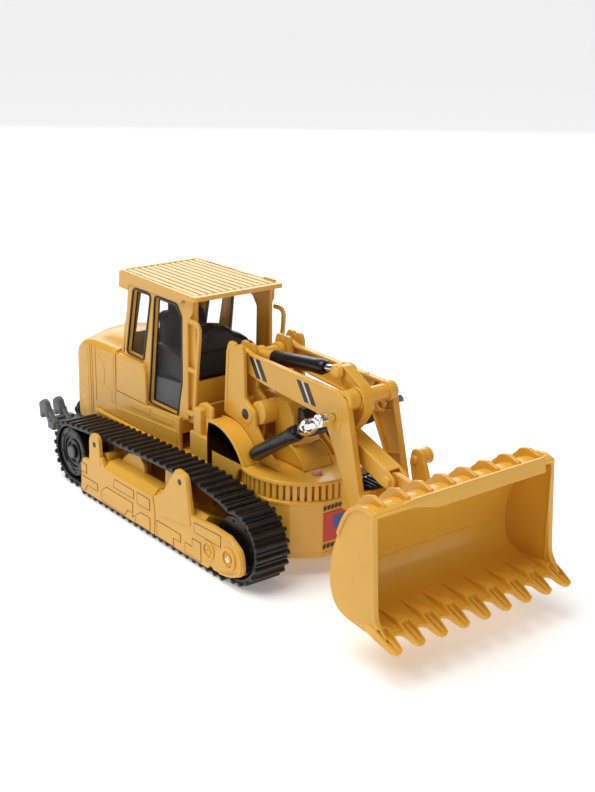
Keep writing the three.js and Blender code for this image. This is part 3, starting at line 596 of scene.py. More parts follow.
def hull():
    walls = plate(hull_plan(0.5), 14, 57.4, across="z", holes=[hull_plan(3.2, 3)], soft=0.7)
    deck = plate(hull_plan(0), 56.6, 60.2, across="z", soft=1.1)
    shapes = [walls, deck, plate(hull_plan(0.1), 16.5, 18.6, across="z", holes=[hull_plan(2, 4)], soft=0.5)]
    for x in (-150, -120, -90, -60, -30, 0, 30):
        for sign in (-1, 1):
            shapes.append(brick(x - 1, x + 1, sign * 46.3 - 0.7, sign * 46.3 + 0.5, 30, 56, 0.3, 0.4))
    return shapes


piece("hull_tub", hull(), YELLOW, replaces=["hull"])


def decal(y0, y1, z0, z1, lean=0.0, out=0.2):
    """A thin printed patch on the bow's front face."""
    return plate([(y0, z0), (y1, z0), (y1 + lean, z1), (y0 + lean, z1)], BOW_X - 0.2, BOW_X + out,
                 across="x", soft=0.05)


piece("bow_patch", [decal(-14.5, 12, 27, 50)], RED)
piece("bow_patch_centre", [decal(-6, 4, 36, 47, out=0.35), decal(6, 11, 29, 41, out=0.35)], BLUE)
piece("bow_patch_bars", [decal(-15 + 3.6 * i, -12.8 + 3.6 * i, 52.4, 55.4, 0.8) for i in range(8)]
      + [decal(-15 + 3.6 * i, -12.8 + 3.6 * i, 21.4, 24.6, 0.8) for i in range(8)], BLACK_PRINT_AND_HOLE_SHADE)


# ---- hood and body sides -----------------------------------------------------------------------
def hood_ring(x, half, low, side, crown):
    """A cross-section of the hood, right-hand foot over the crown to the left-hand foot."""
    points = [(half * 0.985, low), (half, low + 3)]
    for k in range(1, 6):
        points.append((half, low + 3 + (side - 6 - low - 3) * k / 5))
    for k in range(1, 7):
        t = math.radians(90 * k / 6)
        points.append((half - 8 * (1 - math.cos(t)), side - 6 + 6 * math.sin(t)))
    top_half = half - 8
    for k in range(1, 8):
        y = top_half * (1 - k / 7)
        points.append((y, side + (crown - side) * (1 - (y / top_half) ** 2.2)))
    left = [(-y, z) for y, z in reversed(points[:-1])]
    return [Vector((x, -y, z)) for y, z in points] + [Vector((x, -y, z)) for y, z in left]


def hood():
    stations = [(-222.6, 36, 46.5, 94, 96), (-221.8, 39, 45.2, 101, 103.5), (-220, 41.0, 44.4, 107, 110.5),
                (-217, 41.8, 44, 112.4, 117), (-213, 42, 44, 115.6, 121.4), (-206, 42, 44, 118.4, 125.4),
                (-196, 42, 44, 120, 127.6), (-190.2, 42, 44, 120.4, 128.4), (-187.2, 42, 48, 120.5, 128.8),
                (-185.8, 42, 60.4, 120.5, 129), (-176, 42, 60.4, 120.8, 129.8),
                (-165, 42, 60.4, 121, 130.6), (-153.6, 42, 60.4, 121.2, 131)]
    return loft([hood_ring(*station) for station in stations])


def side_panels():
    """Raised panels on the hood's right side."""
    outlines = [
        [(-217, 78, 1), (-200, 76, 1), (-200, 96, 1), (-215.4, 98.5, 2)],
        [(-216, 100.4, 2), (-200, 98, 1), (-200, 113, 3), (-211, 109, 4)],
        [(-218.5, 56, 1), (-200, 55, 1), (-200, 73.8, 1), (-218, 75.6, 1)],
        [(-184, 86, 1), (-172, 84.6, 1), (-172, 100, 1), (-181, 110, 1.5), (-184, 110, 1)],
        [(-184, 66, 1), (-160, 66, 1), (-160, 83, 1), (-184, 84.4, 1)],
        [(-169.6, 84.5, 1), (-156, 83.6, 1), (-156, 116, 1), (-178, 116, 2), (-169.6, 102, 1)],
    ]
    grooves = [brick(x - 0.5, x + 0.5, -42.5, -41.6, 50 if x < -190 else 66, 116, 0.2, 0.3)
               for x in (-196.6, -193.4, -187.4)]
    return [plate(outline, -42.3, -41.6, soft=0.3) for outline in outlines] + grooves


def lower_side():
    outline = [(-155, 60.4), (-54.3, 60.4, 1), (-54.3, 87.6, 0.6), (-60, 87.6), (-104, 84.4), (-155, 84.4)]
    arch = [(-176, 61), (-174, 66, 3), (-164, 69.4, 5), (-58, 75.4, 1), (-57, 61)]
    shapes = [plate(outline, -42, -38.8, soft=0.6), plate(arch, -42.8, -41.6, soft=0.5)]
    for x0, x1 in ((-128, -98), (-95.5, -64)):
        shapes.append(plate([(x0, 76, 0.8), (x1, 77.6, 0.8), (x1, 83.6, 0.8), (x0, 82.4, 0.8)], -42.5,
                            -41.6, soft=0.35))
    return shapes


def grille_slats():
    shapes = []
    for k in range(9):
        z = 60 + 4.2 * k
        shapes.append(plate(rect(-26, 26, z, z + 2.1, 0.7),
                            -222.8, -221, across="x", soft=0.4))
    shapes.append(plate(rect(-30, 30, 56, 99, 2), -222.9, -220.5, across="x",
                        holes=[rect(-27, 27, 58.6, 96.6, 1)], soft=0.5))
    return shapes


def bulge():
    """The rounded swelling at the hood's lower rear corner."""
    rings = []
    for k in range(9):
        t = math.radians(90 * k / 8)
        grow = math.cos(t)
        rings.append([Vector((-206 + 10.5 * grow * math.cos(a), -41.2 - 2.2 * math.sin(t),
                              58 + 11 * grow * math.sin(a)))
                      for a in (2 * math.pi * j / 28 for j in range(28))])
    rings[-1] = [p.lerp(Vector((-206, -43.4, 58)), 0.999) for p in rings[-2]]
    return loft(rings)


floor_pan = plate(rect(-186, -54.5, -41.5, 41.5), 72.5, 75, across="z", soft=0.4,
                  warp=lambda x, y, z: (x, y, z - 9 + (x + 186) * 0.075))
front_bulkhead = plate(rect(-39, 39, 74, 86), -57, -54.2, across="x", soft=0.4)
both = lambda make: make() + [mirrored(shape) for shape in make()]
piece("hood_shell", [hood(), floor_pan, front_bulkhead] + both(side_panels) + both(lower_side)
      + both(lambda: [bulge()]) + grille_slats(), YELLOW, replaces=["body_shell"])
fuel_cap = [turned([(0, 2.6), (4.4, 2.6), (5, 2), (5, -1), (0, -1)], (-190, 20, 126.4), (0, 0, 1), 24)]
piece("hood_cap", fuel_cap, BLACK)


# ---- cab ---------------------------------------------------------------------------------------
QUARTER = [(-137, 122.5, 2.5), (-111.5, 122, 2.5), (-98, 180, 3), (-124, 180, 4)]
DOOR = [(-103, 87.5, 3), (-61, 87.5, 3), (-53.6, 119, 6), (-52.4, 170, 7), (-60, 180, 6), (-91, 180, 3)]


def cab_side():
    wall = [(-151.5, 84.4, 1), (-148.5, 119, 1), (-142, 121, 6), (-134.6, 176, 2), (-134.4, 189),
            (-36, 189), (-37, 178, 2), (-43.4, 168, 6), (-43.8, 122, 2), (-45, 88, 2), (-54, 84.4)]
    skirt = [(-153.2, 84.2, 0.6), (-151.6, 116.5, 2), (-148, 119, 2), (-108.4, 119, 2.2), (-105, 112, 4),
             (-104.6, 84.2, 0.6)]
    holes = [offset(as_path(QUARTER), 0.2), offset(as_path(DOOR), 0.2)]
    return [plate(wall, -39, -35.6, holes=holes, soft=0.7), plate(skirt, -42, -38, soft=1.0)]


def cab_walls():
    front = plate([(-38.4, 85, 1), (38.4, 85, 1), (37.4, 189, 1), (-37.4, 189, 1)], -39.3, -35.4,
                  across="x", holes=[[(-34.6, 121.6, 1.5), (34.6, 121.6, 1.5), (34.6, 187.8, 1),
                                      (-34.6, 187.8, 1)]], soft=0.7)

    def lean(x, y, z):
        if z < 118:
            return (x - 14.8 + (118 - z) * -0.07, y, z)
        return (x - 14.8 + (z - 118) * 0.272 if z < 177 else x + 1.2, y, z)

    rows = [85, 100, 118, 136, 156, 177, 188.6]
    rear_frame = [(-37.6, 85)] + [(37.6, z) for z in rows] + [(-37.6, z) for z in reversed(rows[1:])]
    window = [(-27, 137), (27, 137), (27, 156), (27, 174), (-27, 174), (-27, 156)]
    rear = plate(rear_frame, -135.4, -132.2, across="x", holes=[window], soft=0.3, warp=lean)
    step = plate(rect(-40.8, 40.8, 84.6, 118.4), -154.2, -151.4, across="x", soft=0.6)
    floor = plate(rect(-150, -40, -36, 36), 84.4, 86.6, across="z", soft=0.4)
    return [front, rear, step, floor]


def window_ring(outline, grow, shrink, y0, y1):
    path = as_path(outline)
    return plate(offset(path, -grow), y0, y1, holes=[offset(path, shrink)], soft=0.3)


def pillar_post():
    """The front corner post on the right."""
    post = [(-54, 88, 1.5), (-44.4, 88, 1), (-43.6, 122, 2), (-43.2, 168, 6), (-36, 179, 2),
            (-36, 187.6, 1), (-44, 187.6, 1), (-50.4, 178, 6), (-51.4, 118, 6), (-56.5, 96)]
    return [plate(post, -40.1, -38.2, soft=0.5), brick(-48, -36, -37.2, -35.8, 86, 188, 0.3, 0.4)]


piece("cab_shell", both(cab_side) + cab_walls() + both(pillar_post)
      + both(lambda: [window_ring(QUARTER, 0.6, 1.7, -37, -35.8), window_ring(DOOR, 0.6, 1.7, -37, -35.8)]),
      YELLOW, replaces=["cab_frame"])
piece("window_gaskets", both(lambda: [window_ring(outline, grow, shrink, y0, y1)
                                      for outline in (QUARTER, DOOR)
                                      for grow, shrink, y0, y1 in ((1.3, 0.4, -39.9, -38.5),
                                                                   (-1.5, 2.4, -36.9, -35.6))]), BLACK)
sided("quarter_glass", lambda: [plate(offset(as_path(QUARTER), 1.9), *GLASS_PLANES, soft=0.2)], GLASS,
      replaces="quarter_window_*")
sided("door_glass", lambda: [plate(offset(as_path(DOOR), 1.9), *GLASS_PLANES, soft=0.2)], GLASS,
      replaces="door_window_*")


def handrail():
    rail = [(-38, 171.5), (-31, 171.8), (-27.5, 170.8), (-25.3, 167.5), (-25.6, 160), (-27.5, 146),
            (-29.6, 130), (-31.4, 112), (-33, 98), (-34.6, 95.6), (-44, 95.4)]
    shapes = [plate(flat_rail(rail, 1.8), -42.4, -39.6, soft=0.7)]
    for z, reach in ((132, -29.6), (96, -34)):
        shapes.append(plate(rect(-42, reach, z - 1.7, z + 1.7, 0.5),
                            -42.2, -39.4, soft=0.6))
    return shapes


sided("grab_rail", handrail, YELLOW, replaces="handrail_*")


# ---- roof --------------------------------------------------------------------------------------
def roof_half(x):
    return 39.6 + (x + 145.5) * (43.4 - 39.6) / 117.7


def roof():
    plan = [(-146.5, -39.6, 4), (-27.8, -43.4, 4), (-27.8, 43.4, 4), (-146.5, 39.6, 4)]
    rim_hole = [(-141.8, -36.2, 2.5), (-33.2, -39.4, 2.5), (-33.2, 39.4, 2.5), (-141.8, 36.2, 2.5)]
    shapes = [plate(plan, 188.8, 190.4, across="z", soft=0.5),
              plate(plan, 189.4, 192.45, across="z", holes=[rim_hole], soft=0.6)]
    count, span = 12, 78.6
    squeeze = lambda x, y, z: (x, y * (0.92 + 0.08 * (x + 141) / 107), z)
    for i in range(count):
        y0, y1 = (-span / 2 + (i + k) * span / count for k in (0, 1))
        shapes.append(plate(rect(-140.9, -34, y0 + 0.6, y1 - 0.6, 1.6), 190, 192.35, across="z", soft=0.6,
                            warp=squeeze))

    def flare(x, y, z):
        grow = min(1.0, max(0.0, (z - 177) / 10))
        return (x, y + math.copysign((roof_half(x) - 39.6) * grow, y), z)

    for sign in (-1, 1):
        low, high = sorted((sign * 39.5, sign * 37.4))
        fascia = [(-148.6, 176.6, 2), (-134, 176.6, 1), (-130, 182.6, 2), (-52, 182.6, 2), (-46.5, 187),
                  (-30, 188), (-30, 190), (-146, 190, 1)]
        shapes.append(plate(fascia, low, high, soft=0.6, warp=flare))
        for x0, x1 in ((-112, -97), (-86, -70)):
            shapes.append(brick(x0, x1, sign * 37.4 - 0.6, sign * 37.4 + 0.6, 192, 192.9, 0.2, 0.3))
    shapes += [plate([(-38.6, 176.6, 1.5), (38.6, 176.6, 1.5), (38.6, 190.4), (-38.6, 190.4)], -148.6,
                     -146.2, across="x", soft=0.6),
               brick(-52, -37, 40.2, 42.2, 192.2, 193.6, 0.4, 0.5)]
    return shapes


piece("roof_shell", roof(), YELLOW, replaces=["roof"])
# painted shade: a thin dark orange strip stands for the shade inside each roof slot
piece("roof_slot_shade", both(lambda: [plate([(-128, -36.9), (-78, -38.5), (-78, -38.1), (-128, -36.5)], 192.2,
                                        192.55, across="z", soft=0.05)]), PANEL_SHADE)


# ---- cab interior ------------------------------------------------------------------------------
def seat():
    base = plate([(-119, 86, 3), (-63, 86, 3), (-62, 112, 6), (-119, 114, 6)], -33, 33, soft=4)
    cushion = plate([(-111, 110, 3), (-71, 110, 3), (-68, 121, 6), (-104, 124, 5)], -20, 20, soft=5)
    back = plate([(-116, 114, 3), (-101, 114, 3), (-102.5, 148, 6), (-107, 160, 4), (-119, 160, 4)], -21,
                 21, soft=5)
    head = plate([(-119, 157, 3), (-109, 157, 3), (-110.5, 168, 4), (-119, 168, 4)], -11, 7, soft=3)
    shapes = [base, cushion, back, head]
    for y in (-27, 27):
        shapes.append(plate([(-106, 112, 2), (-66, 112, 2), (-64, 130, 4), (-88, 137, 4), (-106, 137, 4)],
                            y - 5, y + 5, soft=2.2))
    return shapes


def dashboard():
    console = plate([(-60, 87, 2), (-42.5, 87, 2), (-42, 124, 4), (-49, 140, 4), (-57, 142, 4),
                     (-62, 130, 4)],
                    -31, 31, soft=3)
    hump = [(-28, 118, 3), (-25, 148, 6), (-19, 157.6, 5), (-9, 160.6, 6), (4, 158, 6), (12, 151.4, 6),
            (19, 148.6, 5), (27, 143, 4), (30, 118, 3)]
    return [console, plate(hump, -66, -50, across="x", soft=5),
            plate([(-56, 86), (-46, 86), (-46, 106, 3), (-56, 106, 3)], -34, 34, soft=2)]


piece("driver_seat", seat(), SATIN, replaces=["operator_seat"])
piece("dash_console", dashboard(), SATIN, replaces=["dashboard"])
# a dark grey plate just behind the lower part of the door glass
sided("door_grey_plate", lambda: [plate([(-101, 89, 2), (-61.5, 89, 2), (-57, 114.2), (-92, 110.6),
                                     (-97.4, 110)],
                                    -35.4, -34.4, soft=0.3)], GREY)


# ---- turntable deck, fenders, mast -------------------------------------------------------------
def turntable():
    ribs, path = 54, []
    for i in range(ribs):
        for part, r in ((0.0, 41.6), (0.06, 46.6), (0.66, 46.6), (0.72, 41.6)):
            t = 2 * math.pi * (i + part) / ribs
            path.append(Vector((RING_X + r * math.cos(t), r * math.sin(t))))
    trim = [p if p.x > 4 else Vector((4 + (p.x - 4) * 0.05, p.y)) for p in path]
    shapes = [plate(trim, 60.3, 73, across="z", soft=0.3)]

    def squash(x, y, z):
        return (x if x > 4 else 4 + (x - 4) * 0.08, y, z)

    for low, high, r, hole in ((72.6, 75.2, 48.6, 0), (74.6, 75.9, 48.6, 46.4)):
        holes = [circle(RING_X, 0, hole, 64)] if hole else []
        shapes.append(plate(circle(RING_X, 0, r, 72), low, high, across="z", holes=holes, soft=0.9,
                            warp=squash))
    return shapes


piece("ring_deck", turntable(), YELLOW, replaces=["turntable_ring"])
piece("deck_screw", [turned([(0, 3.2), (1.6, 3.3), (3.2, 2.7), (4.1, 1.4), (4.2, -0.6), (0, -0.6)],
                            (82, -9, 75), (0, 0, 1), 24)], PINK)


def shroud():
    """The right front fender: a quarter-round guard with a raised rim, a shoulder box and fins."""
    guard = [(-34, 61, 0.6), (-2, 61), (-2, 75.6), *arc(0, 58, 42.4, 24.6, 101, 16), (-11, 84, 1),
             (-34, 84, 1.2)]
    rim = [*arc(0, 58, 43.4, 23.5, 101, 20), *arc(0, 58, 41.2, 101, 24.8, 20)]
    fin = [(-28.6, 82, 0.5), (-18.6, 82, 0.5), (-18.6, 104, 1), (-21, 106, 1.5), (-28.6, 105, 1)]
    screen = [(-31, 82, 0.5), (-9, 82, 0.5), (-9, 108, 1), (-19, 110.6, 4), (-28, 107, 8), (-31, 99, 4)]
    skin = [(-10, 61), (28, 61), (31, 70), *arc(0, 58, 42.2, 26, 84, 10), (-10, 99)]
    return [plate(guard, -45.6, -30.8, soft=0.8), plate(skin, -45.6, -43.4, soft=0.6),
            plate(rim, -46.6, -44.6, soft=0.4),
            plate(rim, -32.4, -30.4, soft=0.4),
            plate(fin, -45.4, -40.6, soft=0.6),
            plate(screen, -41, -38.4, soft=0.6),
            brick(-31, -28.4, -41, -10, 80, 104, 0.5, 0.8),
            brick(-36, -6, -47.2, -44, 60.6, 64, 0.5, 0.8)]


sided("fender_guard", shroud, YELLOW, replaces="front_fender_*")


def mast_outer():
    top = 158.4
    return [(-4.6, top - 6, 1), (-8.7, 103, 2), (6, 100.6, 3), (23, 78, 3), (26, 75.4), (62, 75.4),
            (60, 79, 3), (46, 88, 8), (33, 102.5, 3), (30.8, 113.5, 6), (18.6, 121.5, 3),
            (17.2, top - 1, 3.4), (14.8, 162.6, 2.6), (9.4, 162.6, 2.6), (7.2, 159.2, 1), (5.4, 162.8, 2.8),
            (-1.6, 162.8, 3), (-4.2, 158, 2)]


def mast():
    holes = [circle(*ARM_PIVOT, 3.1, 20)]
    boss = [*arc(20.8, 110, 8.2, -70, 100, 10), (12, 118, 3), (10, 106, 3)]
    inner = [(-3, 156), (-3, 100, 2), (4, 75.4), (22, 75.4), (28, 104, 3), (28, 122, 3), (18, 128, 3),
             (17, 156, 2), (14.6, 161.8, 2.6), (9.4, 161.8, 2.6), (7.2, 158.6, 1), (5.2, 161.8, 2.8),
             (-1, 161.8, 3)]
    shapes = [plate(mast_outer(), -30, -26.8, soft=0.7),
              plate(boss, -30.8, -29.4, soft=0.6)]
    lip = [(-4.4, 156, 1), (-7.8, 104, 1), (-4.6, 104, 1), (-1.6, 156, 1)]
    shapes += [plate(lip, -30.6, -24.8, soft=0.5),
               plate([(-7.6, 103.4, 1), (-7.2, 108, 1), (8, 106, 1), (22, 86, 1), (19.5, 83, 1),
                      (5.6, 101.6, 1)],
                     -27.4, -24.8, soft=0.5),
               plate(inner, -18.4, -15.2, holes=holes, soft=0.6),
               brick(0, 16, -27.2, -18, 84, 121, 0.6, 1)]
    return shapes


sided("mast_plate", mast, YELLOW, replaces="mast_*")
sided("mast_bolt", lambda: [pin(20.8, 110, -31.3, -25, 4.5, 0.8, 8)], BLACK, replaces="mast_pin_*")


def mast_shaft():
    x, z = ARM_PIVOT
    return [pin(x, z, -29.6, 29.6, 2.9, 0.5), ring_y(x, z, -2.2, 13.6, 4.6, 2.9),
            ring_y(x, z, 9.2, 14.2, 6.6, 2.9), ring_y(x, z, -14.6, -12.6, 4.6, 2.9)]


piece("lift_shaft", mast_shaft(), YELLOW, replaces=["mast_shaft"])


def housing():
    tower = [(2.6, 75.4), (2.6, 117, 3), (16, 124, 2), (50, 124, 3), (57.6, 116, 3), (57.6, 90),
             (57.6, 75.4)]
    hump = [(22, 75.4), (22, 92, 3), (44, 92), *arc(47, 62.4, 29.4, 86, 27, 12)]
    shapes = [plate(tower, -7.5, 7.5, soft=0.9), plate(hump, -13.4, 13.4, soft=0.9),
              plate([(34, 91), (57.8, 91), (57.8, 114, 4), (50, 124.4, 4), (36, 124.4, 2)], -13, 13,
                    soft=1.2),
              pin(31, 112.6, -26.2, 13.6, 9.2, 1.0, 36),
              brick(4, 33, -13.2, 13.2, 84, 89, 0.6, 1)]
    for y in (-13.8, 13.8):
        shapes.append(plate([*arc(47, 62.4, 30.6, 86, 27, 12), *arc(47, 62.4, 28, 27, 86, 12)], y - 0.7,
                            y + 0.7, soft=0.3))
    return shapes


piece("mast_tower", housing(), YELLOW, replaces=["mast_housing"])
piece("drive_cover", [plate([(58.6, 102, 1), (73, 102, 2), (74, 106, 2), (64.6, 121.4, 2),
                             (58.6, 121.6, 1)],
                            -9.6, 8.8, soft=0.9)],
      BLACK, replaces=["lift_drive_cover"])


# ---- loader arms -------------------------------------------------------------------------------
def arm_outline():
    return [*arc(*ARM_PIVOT, 8.6, 250, 96, 10), (18, 155.4, 3), (119, 153.2, 9), (131, 148.6, 8),
            (147.6, 84, 5), (168.5, 67, 4), (173, 60, 7), (165, 51, 7), (155.5, 54, 7), (137, 74, 4),
            (121.5, 104, 5), (109, 126.4, 6), (98, 131.6, 8), (36, 136, 10)]


def arm():
    path = rounded(arm_outline(), 4)
    bores = [circle(*ARM_PIVOT, 3.1, 20), circle(*BUCKET_PIVOT, 3.1, 20)]
    skin = plate(path, -23.9, -21.9, holes=bores, soft=0.6)
    rim = plate(path, -22.4, -19.1, holes=[offset(path, 2.3)], soft=0.5)
    shapes = [skin, rim, plate(path, -24.0, -23.4, holes=[offset(path, 1.3)], soft=0.25)]
    for a, b in (((30, 139), (50, 152)), ((66, 152), (88, 136)), ((112, 128), (131, 134)),
                 ((125, 100), (141, 104)), ((100, 134), (111, 151))):
        rib = flat_rail([a, b], 0.8)
        shapes.append(plate(rib, -22.2, -19.5, soft=0.3))
    shapes += [ring_y(*ARM_PIVOT, -22.4, -19.0, 8.2, 3.1),
               ring_y(*BUCKET_PIVOT, -22.4, -19.0, 7.6, 3.1),
               ring_y(*CROSS_TUBE, -22.4, -18.6, 7.4, 3),
               ring_y(*LIFT_END, -24.3, -19.4, 5.4, 2.6),
               plate([(115, 129, 1), (126, 133, 1), (124, 122, 1)], -24.4, -23.6, soft=0.3)]
    return shapes


def stripe_pair(x, top):
    """Two slanted black bars with a bright line between them, on the arm's outer face."""
    def bar(start, width):
        lean = 9.6
        return plate([(x + start, top), (x + start + width, top - 0.1),
                      (x + start + width + lean, top - 14.9), (x + start + lean, top - 14.8)], -24.16,
                     -23.9, soft=0.05)
    return [bar(0, 5.0), bar(8.2, 5.2)], [bar(5.8, 1.7)]


sided("loader_arm", arm, YELLOW, "lift_arms", "lift_arm_*")
sided("arm_stripes", lambda: stripe_pair(16.4, 153.9)[0] + stripe_pair(74.8, 150.9)[0], BLACK_PRINT_AND_HOLE_SHADE, "lift_arms")
sided("arm_lines", lambda: stripe_pair(16.4, 153.9)[1] + stripe_pair(74.8, 150.9)[1], SILVER, "lift_arms")
piece("arm_screws", [screw(123, 19.6, 137, (0, -1, 0), 2.2, 1.6),
                     screw(110.6, 19.6, 130, (0, -1, 0), 1.8, 1.2),
                     screw(101, 21, 153.4, (0, 0, 1), 1.6, 1.4)],
      CHROME, "lift_arms")
sided("bucket_hinge_pin", lambda: [pin(*BUCKET_PIVOT, -29.4, -14, 2.9, 0.4),
                                   pin(*BUCKET_PIVOT, -30.2, -28.7, 4.4, 0.5)],
      STEEL, "lift_arms", "bucket_pin_*")


def cross_tube():
    x, z = CROSS_TUBE
    return [pin(x, z, -18.7, 18.7, 5.9, 0.6, 36), ring_y(x, z, -18.7, -12.6, 7.4, 5),
            ring_y(x, z, -2.6, 0.4, 7.2, 5), ring_y(x, z, 15.4, 18.7, 7.4, 5)]


piece("arm_cross_tube", cross_tube(), YELLOW, "lift_arms", ["cross_tube"])


def cross_box():
    shapes = []
    hole = rect(126, 143.4, -14.6, 14.6, 1)
    rim = rect(122, 147, -18.6, 18.6, 1.2)
    shapes += [plate(rim, 64, 84, across="z", holes=[hole], soft=0.7),
               plate(rect(123, 146, -17.6, 17.6), 64.2, 67, across="z", soft=0.5)]
    for y in (-9, 9):
        shapes.append(brick(146.4, 148, y - 1, y + 1, 65, 83, 0.4, 0.5))
    return shapes


def motor_block():
    shapes = [brick(127, 146, -11.6, 12.6, 67.4, 86.4, 0.9, 1.4),
              brick(128.6, 144.4, -12.6, -9, 70, 84, 0.5, 0.8)]
    for k in range(5):
        y = -8 + 4 * k
        shapes.append(brick(128.6, 144.6, y - 0.7, y + 0.7, 86, 87.4, 0.3, 0.4))
    return shapes


piece("arm_cross_box", cross_box(), YELLOW, "lift_arms", ["cross_box"])
piece("bucket_motor_case", motor_block(), BLACK, "lift_arms", ["bucket_motor"])
piece("motor_capsule",
      [turned([(0, 0), (2.2, 0.3), (3.2, 1.8), (3.2, 9), (2.2, 10.6), (0, 11)], (129, -12, 91.2),
                               (-0.1, 1, 0.1), 20)], WHITE, "lift_arms")


# ---- crank, link and cylinders -----------------------------------------------------------------
def bell_crank():
    t, m, b = CRANK_TOP, CROSS_TUBE, CRANK_LOW
    outline = [(t[0] - 4.8, t[1] - 3, 3), (t[0] - 3.4, t[1] + 5, 3.6), (t[0] + 4, t[1] + 5, 4),
               (121, 163.2, 12), (131, 157.6, 9), (136.4, 150, 9), (136, 139, 10), (129.5, 129, 12),
               (b[0] + 6.5, b[1] - 3, 5), (b[0], b[1] - 7, 4), (b[0] - 6.6, b[1], 5),
               (b[0] - 4, b[1] + 6.4, 4), (115, 131, 9), (117.2, 147, 9), (109.6, 156.4, 6)]
    holes = [circle(m[0], m[1], 6.3, 28), circle(b[0], b[1], 2.6, 16)]
    path = rounded(outline, 4)
    return [plate(offset(path, 0.25), -10.6, -3.4, holes=holes, soft=0.8),
            plate(path, -11.3, -2.7, holes=[offset(path, 1.7)], soft=0.45),
            ring_y(m[0], m[1], -12.2, -2.9, 8.4, 6.3, 0.6)]


piece("z_crank", bell_crank(), YELLOW, "bell_crank", ["bell_crank"])


def link():
    b, l = Vector(CRANK_LOW), Vector(LINK_FRONT)
    along = (l - b).normalized()
    normal = Vector((-along.y, along.x))

    def at(s, n):
        p = b + along * s + normal * n
        return (p.x, p.y)

    length = (l - b).length
    cheek = [(*at(-6, -4), 5), (*at(-6, 4.4), 5), (*at(6, 6.2), 6), (*at(length - 4, 7), 6),
             (*at(length + 7, 4), 6), (*at(length + 7, -5), 6), (*at(length - 4, -7), 6), (*at(6, -6), 6)]
    shapes = []
    for low, high in ((-14.2, -11.4), (-2.6, 0.2)):
        shapes.append(plate(cheek, low, high, soft=0.8))
    web = [(*at(9, 4.6), 0.8), (*at(9, 6.2), 0.8), (*at(length - 3, 7), 0.8), (*at(length - 3, 5.6), 0.8)]
    shapes += [plate(web, -12, -2, soft=0.5),
               pin(b.x, b.y, -15.2, 1.2, 2.3, 0.4),
               turned(head(4.6, 2.2, 2.8), (l.x, -14, l.y), (0, -1, 0), 6),
               turned(head(4.6, 2.2, 2.8), (l.x, 0, l.y), (0, 1, 0), 6),
               turned(head(4.0, 1.4, 2), (b.x, -14, b.y), (0, -1, 0), 6)]
    return shapes


piece("bucket_link_arm", link(), YELLOW, "bucket_link", ["bucket_link"])


def ram(start, end, y, profile):
    """A profile of (radius, distance) turned about the line from start towards end at a height y."""
    direction = (end[0] - start[0], 0, end[1] - start[1])
    return turned(profile, (start[0], y, start[1]), direction)


TILT_REACH = math.dist(ARM_PIVOT, CRANK_TOP)
LIFT_REACH = math.dist(LIFT_BASE, LIFT_END)
tilt_tube = [(0, 20.4), (4.6, 20.4), (5.6, 21.6), (5.6, 72), (5.9, 72.6), (5.9, 79), (4.6, 82), (3.3, 82),
             (3.3, 50), (0, 50)]
piece("tilt_ram_tube", [ram(ARM_PIVOT, CRANK_TOP, TILT_Y, tilt_tube)], BLACK, "tilt_barrel",
      ["tilt_barrel"])
piece("tilt_ram_eye",
      [ram(ARM_PIVOT, CRANK_TOP, TILT_Y, [(0, 4), (4.6, 4), (4.6, 14), (5.4, 20.6), (0, 20.6)]),
                       ring_y(*ARM_PIVOT, -12, -2.2, 6.6, 3.2, 0.8)], YELLOW, "tilt_barrel")
piece("tilt_ram_rod", [ram(ARM_PIVOT, CRANK_TOP, TILT_Y, [(0, 52), (2.9, 52), (2.9, TILT_REACH - 10),
                                                      (3.4, TILT_REACH - 9.4), (3.4, TILT_REACH - 7.6),
                                                      (0, TILT_REACH - 7.6)])], CHROME, "tilt_rod",
      ["tilt_rod"])


def rod_fork():
    x, z = CRANK_TOP
    shapes = []
    for low, high, rear in ((-14.0, -11.5, 6.6), (-2.5, 0.0, 9.4)):
        shapes.append(plate([(x - rear, z - 4.6, 2), (x, z - 5.4, 4), (x + 5.4, z - 2, 5),
                             (x + 4.8, z + 4, 5), (x, z + 5.4, 4), (x - rear, z + 3.4, 2)], low, high,
                            soft=0.6))
    shapes += [plate(rect(x - 9.6, x - 6.8, z - 4.6, z + 3.2, 0.8), -11, -0.2, soft=0.6),
               plate([(x - 9, z - 3.6, 0.8), (x - 6.8, z - 4.6, 0.8), (x - 5.4, z - 4.4),
                      (x - 5.4, z + 3.2), (x - 6.8, z + 3.2, 0.8)], -13.4, -10.8, soft=0.5)]
    for y, turn in ((-13.8, -1), (-0.2, 1)):
        shapes.append(turned([(0, 0), (3.9, 0), (3.9, 1.6), (3.2, 2.2), (0, 2.2)], (x, y, z), (0, turn, 0),
                             24))
    return shapes


piece("tilt_ram_fork", rod_fork(), YELLOW, "tilt_rod", ["tilt_fork"])


def lift_tube():
    profile = [(0, -5.2), (2.6, -4.7), (4.6, -3), (5.5, -0.6), (5.7, 2), (5.7, 50), (6.1, 51), (6.3, 53),
               (6.3, 58.6), (5.5, 60.4), (3.2, 60.4), (3.2, 40), (0, 40)]
    return [ram(LIFT_BASE, LIFT_END, LIFT_Y, profile)]


